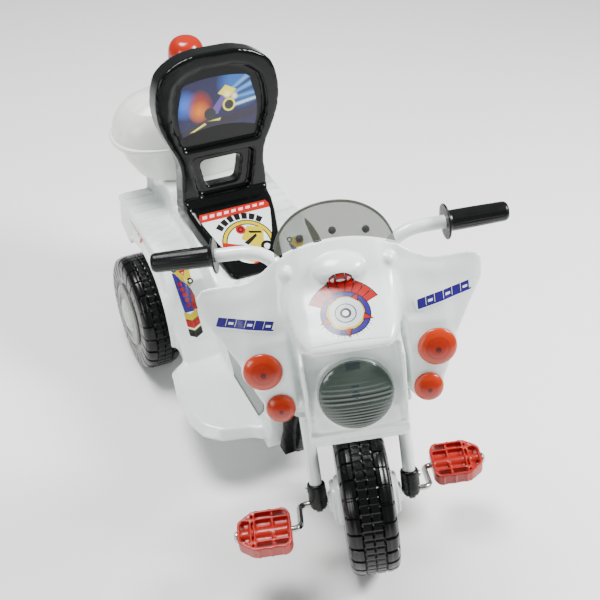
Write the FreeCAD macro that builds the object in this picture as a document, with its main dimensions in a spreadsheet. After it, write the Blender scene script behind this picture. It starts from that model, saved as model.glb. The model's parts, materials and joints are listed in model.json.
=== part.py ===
"""Pedal tricycle for a toddler, styled as a patrol motorcycle.

Millimetres and degrees. +Z is up, the tricycle faces -Y and its own right side is -X.
The handlebar stands turned to the right by "rest_steer", with the cranks nearly level.
Three frames are used:
  body     X across, Y from the front axle to the rear, Z from the ground
  fork     the steering axis is Z, with its origin at the middle of the front axle
  upright  like body, but turned with the fork
"""
import FreeCAD
import Part
import Sketcher
import math
import os
import re
from FreeCAD import Placement, Rotation, Vector

DIMENSIONS = {
    "shift_across": -2.0,
    "shift_along": -332.0,
    "wheelbase": 552.0,
    "rake": 21.5,
    "rest_steer": -21.7,
    "running_gap": 0.06,
    "front_radius": 112.0,
    "front_width": 74.0,
    "front_opening": 37.0,
    "rear_radius": 104.0,
    "rear_width": 66.0,
    "rear_opening": 50.0,
    "rear_track": 151.0,
    "tyre_wall": 4.0,
    "axle_radius": 5.0,
    "crank_radius": 4.5,
    "crank_throw": 68.0,
    "crank_lift": 25.3,
    "crank_arm_across": 98.0,
    "crank_bend": 12.0,
    "pedal_inner": 111.0,
    "pedal_wide": 77.0,
    "pedal_deep": 66.0,
    "pedal_thick": 22.0,
    "tube_radius": 9.5,
    "tube_wall": 1.5,
    "tube_seat": 14.0,
    "fork_half": 69.0,
    "bar_height": 395.0,
    "bar_bend": 55.0,
    "bar_reach": 174.0,
    "bar_sweep": 6.0,
    "collar_radius": 14.0,
    "collar_top": 34.0,
    "grip_start": 88.0,
    "grip_long": 89.0,
    "grip_radius": 14.5,
    "stem_radius": 8.0,
    "head_radius": 15.0,
    "lower_yoke": 150.0,
    "upper_yoke": 278.0,
    "yoke_thick": 8.0,
    "yoke_half": 84.0,
    "yoke_deep": 34.0,
    "lamp_radius": 47.5,
    "lamp_tilt": 19.0,
    "signal_big": 25.5,
    "signal_small": 19.5,
    "skin": 6.0,
    "shell_wall": 4.0,
    "spine_half": 78.0,
    "belly_half": 110.0,
    "board_half": 180.0,
    "board_top": 114.0,
    "board_thick": 19.0,
    "fender_inner": 78.0,
    "fender_outer": 141.0,
    "arch_radius": 130.0,
    "seat_half": 76.0,
    "back_lean": 6.0,
    "back_thick": 40.0,
    "box_front": 617.0,
    "box_rear": 770.0,
    "box_floor": 314.1,
    "box_rim": 372.0,
    "lid_half": 142.0,
    "lid_top": 452.0,
    "beacon_radius": 31.0,
    "pin_radius": 2.5,
}

doc = FreeCAD.newDocument("pedal_tricycle")
sheet = doc.addObject("Spreadsheet::Sheet", "Dims")
for row, (alias, number) in enumerate(DIMENSIONS.items(), 1):
    sheet.set(f"A{row}", alias)
    sheet.set(f"B{row}", str(number))
    sheet.setAlias(f"B{row}", alias)
doc.recompute()

PARTS = []


def linked(text):
    """An expression in which every alias carries the sheet's name."""
    return re.sub(r"\b(?!sin\b|cos\b|tan\b|sqrt\b|deg\b)[a-z][a-z_]+\b", r"Dims.\g<0>", str(text))


def value(text):
    """The number that an expression on the sheet comes to."""
    return float(sheet.evalExpression(linked(text)))


def bind(thing, **fields):
    """Set the fields of a feature as expressions on the sheet."""
    for field, text in fields.items():
        thing.setExpression(field, linked(text))
    return thing


def turn(axis, angle):
    """A rotation about an axis through the origin."""
    return Placement(Vector(0, 0, 0), Rotation(Vector(*axis), angle))


def move(x, y, z):
    """A shift, each step given as an expression."""
    return Placement(Vector(value(x), value(y), value(z)), Rotation())


BODY = move("shift_across", "shift_along", 0)
RAKE = turn((1, 0, 0), -value("rake"))
FORK = BODY * move(0, 0, "front_radius") * RAKE * turn((0, 0, 1), value("rest_steer"))
UPRIGHT = FORK * RAKE.inverse() * move(0, 0, "-front_radius")
REAR_AXLE = BODY * move(0, "wheelbase", "rear_radius")
CRANK = FORK * RAKE.inverse() * turn((1, 0, 0), -value("crank_lift"))
ACROSS = turn((0, 1, 0), 90)
SIDES = {"left": 1, "right": -1}


def keep(thing, name, placement):
    """Name a finished sub-part, place it and put it on the list of nodes."""
    thing.Label = name
    doc.recompute()
    thing.Placement = placement * thing.Placement
    PARTS.append(thing)
    return thing


def facing(sign):
    """Turns a piece made along Z to lie along X, out to one side."""
    return turn((0, 1, 0), 90 * sign)


# ---- building blocks -------------------------------------------------------------------


def body(name):
    return doc.addObject("PartDesign::Body", name)


def sketch_on(owner, role, lift=0):
    """An empty sketch on one of the body's origin planes, lifted off it along its normal."""
    plane = next(f for f in owner.Origin.OriginFeatures if f.Role == role)
    sketch = owner.newObject("Sketcher::SketchObject", "Sketch")
    sketch.AttachmentSupport = [(plane, "")]
    sketch.MapMode = "FlatFace"
    sketch.AttachmentOffset = move(0, 0, lift)
    return sketch


def pin_point(sketch, index, end, x, y):
    """Hold one point of a sketch at two expressions."""
    for kind, text in (("DistanceX", x), ("DistanceY", y)):
        place = sketch.addConstraint(Sketcher.Constraint(kind, -1, 1, index, end, value(text)))
        sketch.setExpression(f"Constraints[{place}]", linked(text))


def draw(sketch, points, closed=True):
    """Straight edges through points given as pairs of expressions."""
    first = sketch.GeometryCount
    spots = [Vector(value(x), value(y), 0) for x, y in points]
    count = len(spots) if closed else len(spots) - 1
    for step in range(count):
        end = spots[(step + 1) % len(spots)]
        sketch.addGeometry(Part.LineSegment(spots[step], end), False)
    for step in range(count - (0 if closed else 1)):
        following = first + (step + 1) % count
        sketch.addConstraint(Sketcher.Constraint("Coincident", first + step, 2, following, 1))
    for step in range(count):
        pin_point(sketch, first + step, 1, *points[step])
    if not closed:
        pin_point(sketch, first + count - 1, 2, *points[-1])
    return sketch


def ring(sketch, x, y, radius):
    """A circle in a sketch."""
    centre = Vector(value(x), value(y), 0)
    index = sketch.addGeometry(Part.Circle(centre, Vector(0, 0, 1), value(radius)), False)
    pin_point(sketch, index, 3, x, y)
    place = sketch.addConstraint(Sketcher.Constraint("Radius", index, value(radius)))
    sketch.setExpression(f"Constraints[{place}]", linked(radius))
    return sketch


def spun(name, points):
    """A turned piece: its outline as (radius, height) pairs, spun about Z."""
    owner = body(name)
    sketch = draw(sketch_on(owner, "XZ_Plane"), points)
    turned = owner.newObject("PartDesign::Revolution", "Turned")
    turned.Profile = sketch
    turned.ReferenceAxis = (sketch, ["V_Axis"])
    turned.Angle = 360
    return owner


def prism(name, role, points, length, circles=(), lift=0, symmetric=True):
    """An outline on one plane with round holes in it, padded to a length."""
    owner = body(name)
    sketch = draw(sketch_on(owner, role, lift), points)
    for circle in circles:
        ring(sketch, *circle)
    pad = owner.newObject("PartDesign::Pad", "Pad")
    pad.Profile = sketch
    pad.SideType = "Symmetric" if symmetric else "One side"
    bind(pad, Length=length)
    return owner


def rod(name, radius, length, placement=None):
    """A cylinder along Z from the origin of its placement."""
    cylinder = doc.addObject("Part::Cylinder", name)
    bind(cylinder, Radius=radius, Height=length)
    cylinder.Placement = placement or Placement()
    return cylinder


def block(name, wide, deep, high, placement=None):
    """A box centred on the X and Y of its placement, from its Z up."""
    box = doc.addObject("Part::Box", name)
    bind(box, Length=wide, Width=deep, Height=high)
    centre = move(f"-({wide})/2", f"-({deep})/2", 0)
    box.Placement = (placement or Placement()) * centre
    return box


def cut(name, base, tools):
    """A base with tools taken out of it."""
    result = base
    for number, tool in enumerate(tools, 1):
        step = doc.addObject("Part::Cut", f"{name}_cut{number}")
        step.Base = result
        step.Tool = tool
        result = step
    return result


def fuse(name, shapes):
    result = doc.addObject("Part::MultiFuse", name)
    result.Shapes = shapes
    result.Refine = True
    return result


def group(name, shapes):
    """Loose identical pieces that share one node."""
    result = doc.addObject("Part::Compound", name)
    result.Links = shapes
    return result


def pipe(name, route, bend, radius, bore=None):
    """A round bar or tube along a route in the XZ plane, its corners rounded to one radius.

    The route starts along Z for a fork tube and along X for a crank; its points are expressions.
    """
    owner = body(name)
    spots = [Vector(value(x), value(z), 0) for x, z in route]
    turns = [value(bend)] * (len(spots) - 2)
    path = sketch_on(owner, "XZ_Plane")
    arcs = []
    for i, size in enumerate(turns, 1):
        back = (spots[i - 1] - spots[i]).normalize()
        ahead = (spots[i + 1] - spots[i]).normalize()
        half = math.acos(max(-1, min(1, back.dot(ahead)))) / 2
        reach = size / math.tan(half)
        inward = (back + ahead).normalize() * (size / math.sin(half) - size)
        arcs.append((spots[i] + back * reach, spots[i] + inward, spots[i] + ahead * reach))
    start = spots[0]
    for first, middle, last in arcs:
        path.addGeometry(Part.LineSegment(start, first), False)
        path.addGeometry(Part.Arc(first, middle, last), False)
        start = last
    path.addGeometry(Part.LineSegment(start, spots[-1]), False)
    along_x = abs(spots[1].x - spots[0].x) > abs(spots[1].y - spots[0].y)
    if along_x:
        section = sketch_on(owner, "YZ_Plane", route[0][0])
        ring(section, 0, route[0][1], radius)
    else:
        section = sketch_on(owner, "XY_Plane", route[0][1])
        ring(section, route[0][0], 0, radius)
        if bore:
            ring(section, route[0][0], 0, bore)
    sweep = owner.newObject("PartDesign::AdditivePipe", "Sweep")
    sweep.Profile = section
    sweep.Spine = (path, [])
    return owner


def facets(faces):
    """A closed solid from flat three-cornered faces."""
    sides = []
    for a, b, c in faces:
        if (b - a).cross(c - a).Length > 1e-6:
            sides.append(Part.Face(Part.makePolygon([a, b, c, a])))
    solid = Part.Solid(Part.Shell(sides))
    if solid.Volume < 0:
        solid.reverse()
    return solid


def skin(columns, push):
    """A moulded skin: a net of points and the same net pushed back, closed round its edge."""
    front = [[Vector(*p) for p in column] for column in columns]
    back = [[p + push for p in column] for column in front]
    wide, high = len(front), len(front[0])
    faces = []
    for i in range(wide - 1):
        for j in range(high - 1):
            for net, order in ((front, 1), (back, -1)):
                corners = [net[i][j], net[i + 1][j], net[i + 1][j + 1], net[i][j + 1]]
                faces.append(corners[:3][::order])
                faces.append([corners[0], corners[2], corners[3]][::order])
    rim = [(i, 0) for i in range(wide)] + [(wide - 1, j) for j in range(1, high)]
    rim += [(i, high - 1) for i in range(wide - 2, -1, -1)] + [(0, j) for j in range(high - 2, 0, -1)]
    for (i, j), (k, m) in zip(rim, rim[1:] + rim[:1]):
        faces.append([front[i][j], back[i][j], back[k][m]])
        faces.append([front[i][j], back[k][m], front[k][m]])
    return facets(faces)


def shaped(name, shape):
    """A sub-part whose shape is worked out from the sheet above."""
    thing = doc.addObject("Part::Feature", name)
    thing.Shape = shape
    return thing


# ---- wheels ----------------------------------------------------------------------------


def tyre(name, radius, width, opening):
    """A blow-moulded tyre, open towards its hub."""
    half = f"{width}/2"
    outside = [
        (f"{opening}", f"{half}-4"),
        (f"{radius}*0.6", f"{half}"),
        (f"{radius}*0.9", f"{half}"),
        (f"{radius}*0.975", f"{half}-5"),
        (f"{radius}", f"{half}-14"),
    ]
    inside = [
        (f"{radius}-tyre_wall", f"{half}-16"),
        (f"{radius}*0.975-tyre_wall", f"{half}-8"),
        (f"{radius}*0.9-tyre_wall*0.5", f"{half}-tyre_wall"),
        (f"{radius}*0.6", f"{half}-tyre_wall"),
        (f"{opening}", f"{half}-4-tyre_wall"),
    ]
    mirrored = [(r, f"-({z})") for r, z in reversed(outside)]
    hollow = [(r, f"-({z})") for r, z in reversed(inside)]
    return spun(name, outside + mirrored + hollow + inside)


def front_wheel():
    """Tyre and two stepped hub halves on the crank, which drives them."""
    wheel = FORK * RAKE.inverse() * ACROSS
    keep(tyre("front_tyre", "front_radius", "front_width", "front_opening+0.1"), "front_tyre", wheel)
    for side, sign in SIDES.items():
        name = f"front_hub_{side}"
        hub = spun(name, [
            ("crank_radius", 0.1),
            (12, 0.1),
            (12, "front_width/2-12"),
            ("front_opening", "front_width/2-12"),
            ("front_opening", "front_width/2+2"),
            ("front_opening-3", "front_width/2+5"),
            ("front_opening-6", "front_width/2+5"),
            ("front_opening-6", "front_width/2+10"),
            ("front_opening-9", "front_width/2+12"),
            (15, "front_width/2+13"),
            (11, "fork_half-collar_radius-0.6"),
            ("crank_radius", "fork_half-collar_radius-0.6"),
        ])
        keep(hub, name, FORK * RAKE.inverse() * facing(sign))


def crank():
    """One bent rod: axle, two arms and two pedal spindles, with a push-on cap at each end."""
    tip = "pedal_inner+pedal_wide+4"
    axle = pipe("crank_axle", [
        (f"-({tip})", "-crank_throw"),
        ("-crank_arm_across", "-crank_throw"),
        ("-crank_arm_across", 0),
        ("crank_arm_across", 0),
        ("crank_arm_across", "crank_throw"),
        (tip, "crank_throw"),
    ], "crank_bend", "crank_radius")
    # The rod is drawn with its arms along Z; the left arm then points to the rear and down.
    keep(axle, "crank_axle", CRANK * turn((1, 0, 0), -90))
    for side, sign in SIDES.items():
        name = f"pedal_cap_{side}"
        cap = spun(name, [
            (0, 4.2), ("crank_radius", 4.2), ("crank_radius", 0.4), ("crank_radius+4", 0.4),
            ("crank_radius+4", 3), ("crank_radius+2", 6), (0, 6),
        ])
        end = move(f"{sign}*(pedal_inner+pedal_wide)", f"{sign}*crank_throw", 0)
        keep(cap, name, CRANK * end * facing(sign))


def pedals():
    """Ribbed blocks that turn freely on the spindles."""
    half, deep, soft = "pedal_thick/2", "pedal_deep/2", 6
    corner = [
        (f"-{deep}", f"-{half}+{soft}"), (f"-{deep}+{soft}", f"-{half}"),
        (f"{deep}-{soft}", f"-{half}"), (f"{deep}", f"-{half}+{soft}"),
        (f"{deep}", f"{half}-{soft}"), (f"{deep}-{soft}", f"{half}"),
        (f"-{deep}+{soft}", f"{half}"), (f"-{deep}", f"{half}-{soft}"),
    ]
    for side, sign in SIDES.items():
        name = f"pedal_{side}"
        pedal = prism(name, "YZ_Plane", corner, "pedal_wide", [(0, 0, "crank_radius+running_gap")])
        centre = move(f"{sign}*(pedal_inner+pedal_wide/2)", f"{sign}*crank_throw", 0)
        keep(pedal, name, CRANK * centre * turn((1, 0, 0), value("crank_lift")))


def rear_wheels():
    """Each wheel: tyre, spool-shaped hub that runs on the axle, and a dished cover."""
    inner = "rear_track-rear_width/2"
    outer = "rear_track+rear_width/2"
    for side, sign in SIDES.items():
        out = REAR_AXLE * facing(sign)
        middle = REAR_AXLE * move(f"{sign}*rear_track", 0, 0) * ACROSS
        name = f"rear_tyre_{side}"
        keep(tyre(name, "rear_radius", "rear_width", "rear_opening+0.1"), name, middle)
        name = f"rear_hub_{side}"
        hub = spun(name, [
            ("axle_radius+running_gap", f"{inner}-3"),
            (14, f"{inner}-3"),
            (14, f"{inner}+2"),
            ("rear_opening", f"{inner}+4.2"),
            ("rear_opening", f"{inner}+10"),
            (15, f"{inner}+10"),
            (15, f"{outer}-14"),
            ("rear_opening", f"{outer}-14"),
            ("rear_opening", f"{outer}-4"),
            ("rear_opening-4", f"{outer}-4"),
            ("rear_opening-4", f"{outer}-9"),
            ("axle_radius+running_gap", f"{outer}-9"),
        ])
        keep(hub, name, out)
        name = f"rear_hub_cover_{side}"
        cover = spun(name, [
            (0, f"{outer}+6"), (22, f"{outer}+6"), (26, f"{outer}+4"), (27, f"{outer}+1"),
            (36, f"{outer}+0.5"), (40, f"{outer}+3"), (50, f"{outer}+3"), (56, f"{outer}+1"),
            (57, f"{outer}-1.4"), (54, f"{outer}-1.4"), ("rear_opening", f"{outer}-0.5"),
            (38, f"{outer}-0.5"), (35, f"{outer}-3"), (24, f"{outer}-3"), (20, f"{outer}+3"),
            (0, f"{outer}+3"),
        ])
        keep(cover, name, out)
        name = f"axle_cap_{side}"
        cap = spun(name, [
            ("axle_radius", f"{outer}-8.6"), (11, f"{outer}-8.6"), (11, f"{outer}-6.6"),
            ("axle_radius+1.5", f"{outer}-4"), ("axle_radius", f"{outer}-4"),
        ])
        keep(cap, name, out)
    length = f"2*({outer}-3.5)"
    axle = rod("rear_axle", "axle_radius", length, ACROSS * move(0, 0, f"-({length})/2"))
    keep(axle, "rear_axle", REAR_AXLE)
    for side, sign in SIDES.items():
        name = f"axle_bush_{side}"
        bush = spun(name, [
            ("axle_radius", "belly_half-10"), (9, "belly_half-10"), (9, "belly_half"),
            (12, "belly_half"), (12, "belly_half+3"), ("axle_radius", "belly_half+3"),
        ])
        keep(bush, name, REAR_AXLE * facing(sign))


# ---- steering --------------------------------------------------------------------------


def fork():
    """Two bent tubes that are fork legs and handlebar in one, their end bearings and grips."""
    for side, sign in SIDES.items():
        leg = FORK * move(f"{sign}*fork_half", 0, 0)
        bent = turn((0, 0, 1), 0 if sign > 0 else 180) * turn((0, 0, 1), sign * value("bar_sweep"))
        name = f"handlebar_tube_{side}"
        tube = pipe(name, [(0, "tube_seat"), (0, "bar_height"), ("bar_reach", "bar_height")],
                    "bar_bend", "tube_radius", "tube_radius-tube_wall")
        keep(tube, name, leg * bent)
        name = f"grip_{side}"
        grip = spun(name, [
            ("tube_radius+0.05", 0), (25, 0), (25, 2.5), ("grip_radius+1", 4),
            ("grip_radius", 8), ("grip_radius-1.5", "grip_long-3"),
            ("grip_radius-4", "grip_long"), (0, "grip_long"), (0, "grip_long-2.5"),
            ("tube_radius+0.05", "grip_long-2.5"),
        ])
        keep(grip, name, leg * bent * move("grip_start", 0, "bar_height") * ACROSS)
        name = f"fork_end_{side}"
        collar = fuse(f"{name}_solid", [
            rod(f"{name}_collar", "collar_radius", "collar_top+6", move(0, 0, -6)),
            block(f"{name}_rib", 9, "collar_radius*2", 14, move(0, 0, -14)),
        ])
        fork_end = cut(name, collar, [
            rod(f"{name}_socket", "tube_radius+0.05", "collar_top", move(0, 0, "tube_seat-0.1")),
            rod(f"{name}_bearing", "crank_radius+running_gap", 60, move(-30, 0, 0) * ACROSS),
            rod(f"{name}_rivet_hole", 2.5, 20, move(0, 0, 24) * facing(sign)),
        ])
        keep(fork_end, name, leg)


def rivets():
    """The rivets that hold the fork ends on the tubes: a domed head and a shank each."""
    pieces = []
    for side, sign in SIDES.items():
        rivet = spun(f"fork_rivet_{side}", [
            (0, "tube_radius+0.2"), (2.4, "tube_radius+0.2"), (2.4, "collar_radius+0.1"),
            (5, "collar_radius+0.1"), (4.2, "collar_radius+2"), (0, "collar_radius+2.8"),
        ])
        rivet.Placement = move(f"{sign}*fork_half", 0, 24) * facing(sign)
        pieces.append(rivet)
    keep(group("fork_rivets", pieces), "fork_rivets", FORK)


def yokes():
    """The two plates that join the tubes to the steering stem, and the stem with its nut."""
    for name, height in (("lower_yoke", "lower_yoke"), ("upper_yoke", "upper_yoke")):
        wide, deep = "yoke_half", "yoke_deep/2"
        plate = prism(name, "XY_Plane", [
            (f"-{wide}", f"-{deep}+8"), (f"-{wide}+8", f"-{deep}"),
            (f"{wide}-8", f"-{deep}"), (f"{wide}", f"-{deep}+8"),
            (f"{wide}", f"{deep}-8"), (f"{wide}-8", f"{deep}"),
            (f"-{wide}+8", f"{deep}"), (f"-{wide}", f"{deep}-8"),
        ], "yoke_thick", [
            ("fork_half", 0, "tube_radius+0.05"),
            ("-fork_half", 0, "tube_radius+0.05"),
            (0, 0, "stem_radius+0.02"),
        ], symmetric=False)
        keep(plate, name, FORK * move(0, 0, height))
    stem = spun("steering_stem", [
        (0, "lower_yoke-6"), (12, "lower_yoke-6"), (12, "lower_yoke-0.1"),
        ("stem_radius", "lower_yoke-0.1"), ("stem_radius", "upper_yoke+yoke_thick+13"),
        (0, "upper_yoke+yoke_thick+13"),
    ])
    keep(stem, "steering_stem", FORK)
    hexagon = doc.addObject("Part::Prism", "nut_hexagon")
    hexagon.Polygon = 6
    bind(hexagon, Circumradius=13, Height=9)
    nut = cut("stem_nut", hexagon, [rod("nut_bore", "stem_radius+0.02", 20, move(0, 0, -5))])
    keep(nut, "stem_nut", FORK * move(0, 0, "upper_yoke+yoke_thick+0.1"))
    washers = []
    for number, height in enumerate(("lower_yoke+yoke_thick+0.1", "upper_yoke-3.1"), 1):
        washer = spun(f"washer_{number}", [
            ("stem_radius+0.1", 0), ("head_radius", 0), ("head_radius", 3), ("stem_radius+0.1", 3),
        ])
        washer.Placement = move(0, 0, height)
        washers.append(washer)
    keep(group("steering_washers", washers), "steering_washers", FORK)


def fairing_columns():
    """Down each column: rim, hood, brow, lamp face and lower lip, from the middle outwards."""
    half = {
        0: [(68, 541), (50, 526), (27, 505), (-17, 489), (-60, 470),
            (-52, 458), (-26, 434), (-56, 330), (-40, 288)],
        46: [(67, 536), (48, 521), (27, 502), (-15, 486), (-56, 467),
            (-49, 456), (-26, 434), (-56, 330), (-40, 288)],
        59: [(66, 530), (48, 515), (28, 498), (-5, 484), (-36, 470),
            (-36, 458), (-24, 434), (-51, 330), (-36, 290)],
        66: [(65, 527), (49, 512), (32, 497), (10, 484), (-12, 470),
            (-13, 457), (-9, 434), (-22, 330), (-12, 296)],
        71: [(64, 525), (52, 511), (40, 497), (26, 485), (16, 470),
            (15, 456), (13, 434), (8, 345), (10, 322)],
        78: [(63, 523), (54, 509), (43, 496), (33, 482), (20, 462),
            (14, 446), (7, 437), (-17, 336), (-10, 326)],
        98: [(58, 510), (53, 503), (45, 494), (35, 479), (21, 460),
            (13, 444), (7, 435), (-20, 324), (-12, 317)],
        122: [(52, 503), (49, 498), (42, 490), (33, 475), (21, 458),
              (13, 444), (6, 432), (-11, 356), (-3, 350)],
        140: [(52, 503), (49, 498), (43, 489), (35, 474), (27, 459),
              (20, 446), (13, 431), (6, 404), (13, 398)],
        158: [(52, 503), (50, 498), (45, 489), (39, 476), (33, 463),
            (28, 452), (24, 442), (22, 434), (26, 430)],
        174: [(52, 500), (51, 496), (48, 489), (45, 481), (42, 474),
            (40, 467), (38, 461), (37, 457), (40, 453)],
        183: [(51, 488), (51, 486), (50, 483), (49, 480), (48, 477),
            (47, 474), (46, 471), (46, 468), (47, 465)],
    }
    right = [[(-x, y, z) for y, z in half[x]] for x in sorted(half, reverse=True)]
    left = [[(x, y, z) for y, z in half[x]] for x in sorted(half) if x]
    return right + left


def fairing():
    """The moulded nose with its lamp and signal lenses, the windscreen and a stay to the fork."""
    tilt = turn((1, 0, 0), 90 - value("lamp_tilt"))
    lamp = move(0, -41, 379) * tilt
    spots = {"upper": (113, -4.5, 400, "signal_big"), "lower": (97.5, -20.5, 345.5, "signal_small")}
    seats, pockets = [], [
        rod("lamp_hole", "lamp_radius-5", 40, lamp * move(0, 0, -20)),
        rod("lamp_pocket", "lamp_radius+0.1", 40, lamp * move(0, 0, 2.4)),
    ]
    for level, (x, y, z, size) in spots.items():
        for side, sign in SIDES.items():
            spot = move(sign * x, y, z) * tilt
            seats.append(rod(f"{level}_{side}_seat", f"{size}+1.5", 9, spot * move(0, 0, -11.6)))
            pockets.append(rod(f"{level}_{side}_pocket", f"{size}+0.1", 40, spot * move(0, 0, -2.6)))
    shell = shaped("fairing_skin", skin(fairing_columns(), Vector(0, value("skin"), 0)))
    nose = cut("fairing", fuse("fairing_solid", [shell, *seats]), pockets)
    keep(nose, "fairing", UPRIGHT)
    lens = spun("headlight_lens", [
        (0, 13), (16, 12), (29, 9), (39, 4.5), ("lamp_radius", -0.5), ("lamp_radius", -3.5),
        ("lamp_radius-3", -3.5), ("lamp_radius-3", -2), (38, 2), (28, 6.4), (15, 9.4), (0, 10.4),
    ])
    keep(lens, "headlight_lens", UPRIGHT * lamp * move(0, 0, 6))
    dish = spun("headlight_reflector", [
        (0, -20), (12, -20), (29, -12), (40, 0), (42.3, 0), (42.3, -1.5), (31, -13.5), (13, -22),
        (0, -22),
    ])
    keep(dish, "headlight_reflector", UPRIGHT * lamp * move(0, 0, 1.5))
    for level, (x, y, z, size) in spots.items():
        for side, sign in SIDES.items():
            name = f"signal_lens_{level}_{side}"
            dome = spun(name, [
                (0, 9), (f"{size}*0.4", 8), (f"{size}*0.75", 5), (size, 0), (size, -2.5),
                (f"{size}-2.5", -2.5), (f"{size}*0.72", 2.6), (f"{size}*0.38", 5.4), (0, 6.2),
            ])
            keep(dome, name, UPRIGHT * move(sign * x, y, z) * tilt)


def windscreen():
    """A curved smoked sheet that rises and leans back from the rim of the fairing."""
    rows, power = 6, 2.8
    columns = []
    for step in range(-8, 9):
        share = math.sin(math.radians(90 * step / 8))
        top = 46 * max(0.06, 1 - abs(share) ** power) ** (1 / power)
        column = []
        for level in range(rows + 1):
            rise = 0.72 * top * (1 - level / rows)
            across = share * (77 - 6 * rise / 33)
            column.append((across, 74 + rise - 5 * share ** 2, 537 + rise - 15 * share ** 2))
        columns.append(column)
    pane = skin(columns, Vector(0, 3, -1))
    keep(shaped("windscreen", pane), "windscreen", UPRIGHT)
    screws = []
    for number, x in enumerate((-42, 0, 42), 1):
        screw = spun(f"screw_{number}", [(0, 0.3), (5, 0.3), (4, 2.6), (0, 3.4)])
        spot = move(x, 79.5 - 5 * (x / 77) ** 2, 545 - 15 * (x / 77) ** 2)
        screw.Placement = spot * turn((1, 0, 0), 45)
        screws.append(screw)
    keep(group("windscreen_screws", screws), "windscreen_screws", UPRIGHT)


def stay():
    """A steel strap bent from the upper yoke forward to the back of the fairing."""
    strap = prism("fairing_stay", "YZ_Plane", [
        ("-yoke_deep/2-0.1", 0), ("-yoke_deep/2-0.1", "yoke_thick"),
        ("-yoke_deep/2-2", "yoke_thick+2"), (-104, 108), (-106, 107), ("-yoke_deep/2-4", 0),
    ], 24)
    keep(strap, "fairing_stay", FORK * move(0, 0, "upper_yoke"))


# ---- body ------------------------------------------------------------------------------


def body_shell():
    """One blow moulding: spine, foot boards and fenders, hollow and open underneath."""
    spine = prism("spine", "YZ_Plane", [
        (178, 72), (166, 120), (170, 190), (200, 232), (330, 258), (388, 256), (503, 291),
        (578, 291), (600, 314), (712, 314), (712, 120), (640, 96), (420, 96), (200, 72),
    ], "spine_half*2")
    belly = prism("belly", "YZ_Plane", [
        (440, 96), (440, 235), (690, 235), (706, 215), (706, 120), (640, 96),
    ], "belly_half*2")
    pieces = [spine, belly]
    hollows = [
        prism("spine_hollow", "YZ_Plane", [
            (184, 60), (172, 122), (176, 188), (203, 227), (331, 253), (388, 251), (503, 286),
            (580, 286), (602, 309), (707, 309), (707, 60),
        ], "(spine_half-shell_wall)*2"),
        prism("belly_hollow", "YZ_Plane", [
            (445, 60), (445, 230), (688, 230), (701, 213), (701, 60),
        ], "(belly_half-shell_wall)*2"),
    ]
    for side, sign in SIDES.items():
        board = prism(f"board_{side}", "XY_Plane", [
            (f"{sign}*70", 178), (f"{sign}*84", 176), (f"{sign}*98", 187), (f"{sign}*146", 200),
            (f"{sign}*170", 222), (f"{sign}*board_half", 255), (f"{sign}*(board_half-3)", 320),
            (f"{sign}*(board_half-14)", 380), (f"{sign}*fender_outer", 398), (f"{sign}*70", 398),
        ], "board_thick", lift="board_top-board_thick", symmetric=False)
        tray = prism(f"board_hollow_{side}", "XY_Plane", [
            (f"{sign}*72", 182), (f"{sign}*84", 184), (f"{sign}*98", 193), (f"{sign}*143", 205),
            (f"{sign}*166", 225), (f"{sign}*(board_half-5)", 256), (f"{sign}*(board_half-8)", 318),
            (f"{sign}*(board_half-18)", 376), (f"{sign}*(fender_outer-3)", 392), (f"{sign}*72", 392),
        ], "board_thick-shell_wall+20", lift="board_top-board_thick-20", symmetric=False)
        fender = prism(f"fender_{side}", "YZ_Plane", [
            (372, "board_top-2"), (410, 146), (441, 184), (475, 244), (500, 259), (680, 261),
            (703, 252), (712, 226), (712, 190), (372, 100),
        ], "fender_outer-fender_inner+6",
            lift=f"{sign}*(fender_outer+fender_inner-6)/2")
        under = prism(f"fender_hollow_{side}", "YZ_Plane", [
            (378, 60), (378, 110), (414, 142), (445, 181), (478, 240), (501, 254.5), (680, 256.5),
            (700, 248), (707, 225), (707, 60),
        ], "fender_outer-fender_inner-shell_wall",
            lift=f"{sign}*((fender_outer+fender_inner)/2-shell_wall/2)")
        pieces += [board, fender]
        hollows += [tray, under]
    arch = rod("arch", "arch_radius", 500, move(-250, "wheelbase", "rear_radius") * ACROSS)
    keep_belly = block("keep_belly", "belly_half*2", 400, 400, move(0, "wheelbase", 0))
    hollows.append(cut("wheel_arch", arch, [keep_belly]))
    for side, sign in SIDES.items():
        start = move(f"{sign}*(belly_half+2)", "wheelbase", "rear_radius")
        hollows.append(rod(f"axle_hole_{side}", 9.05, 14, start * facing(-sign)))
    shell = cut("body_shell", fuse("body_outside", pieces), hollows)
    keep(shell, "body_shell", BODY)


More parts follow.
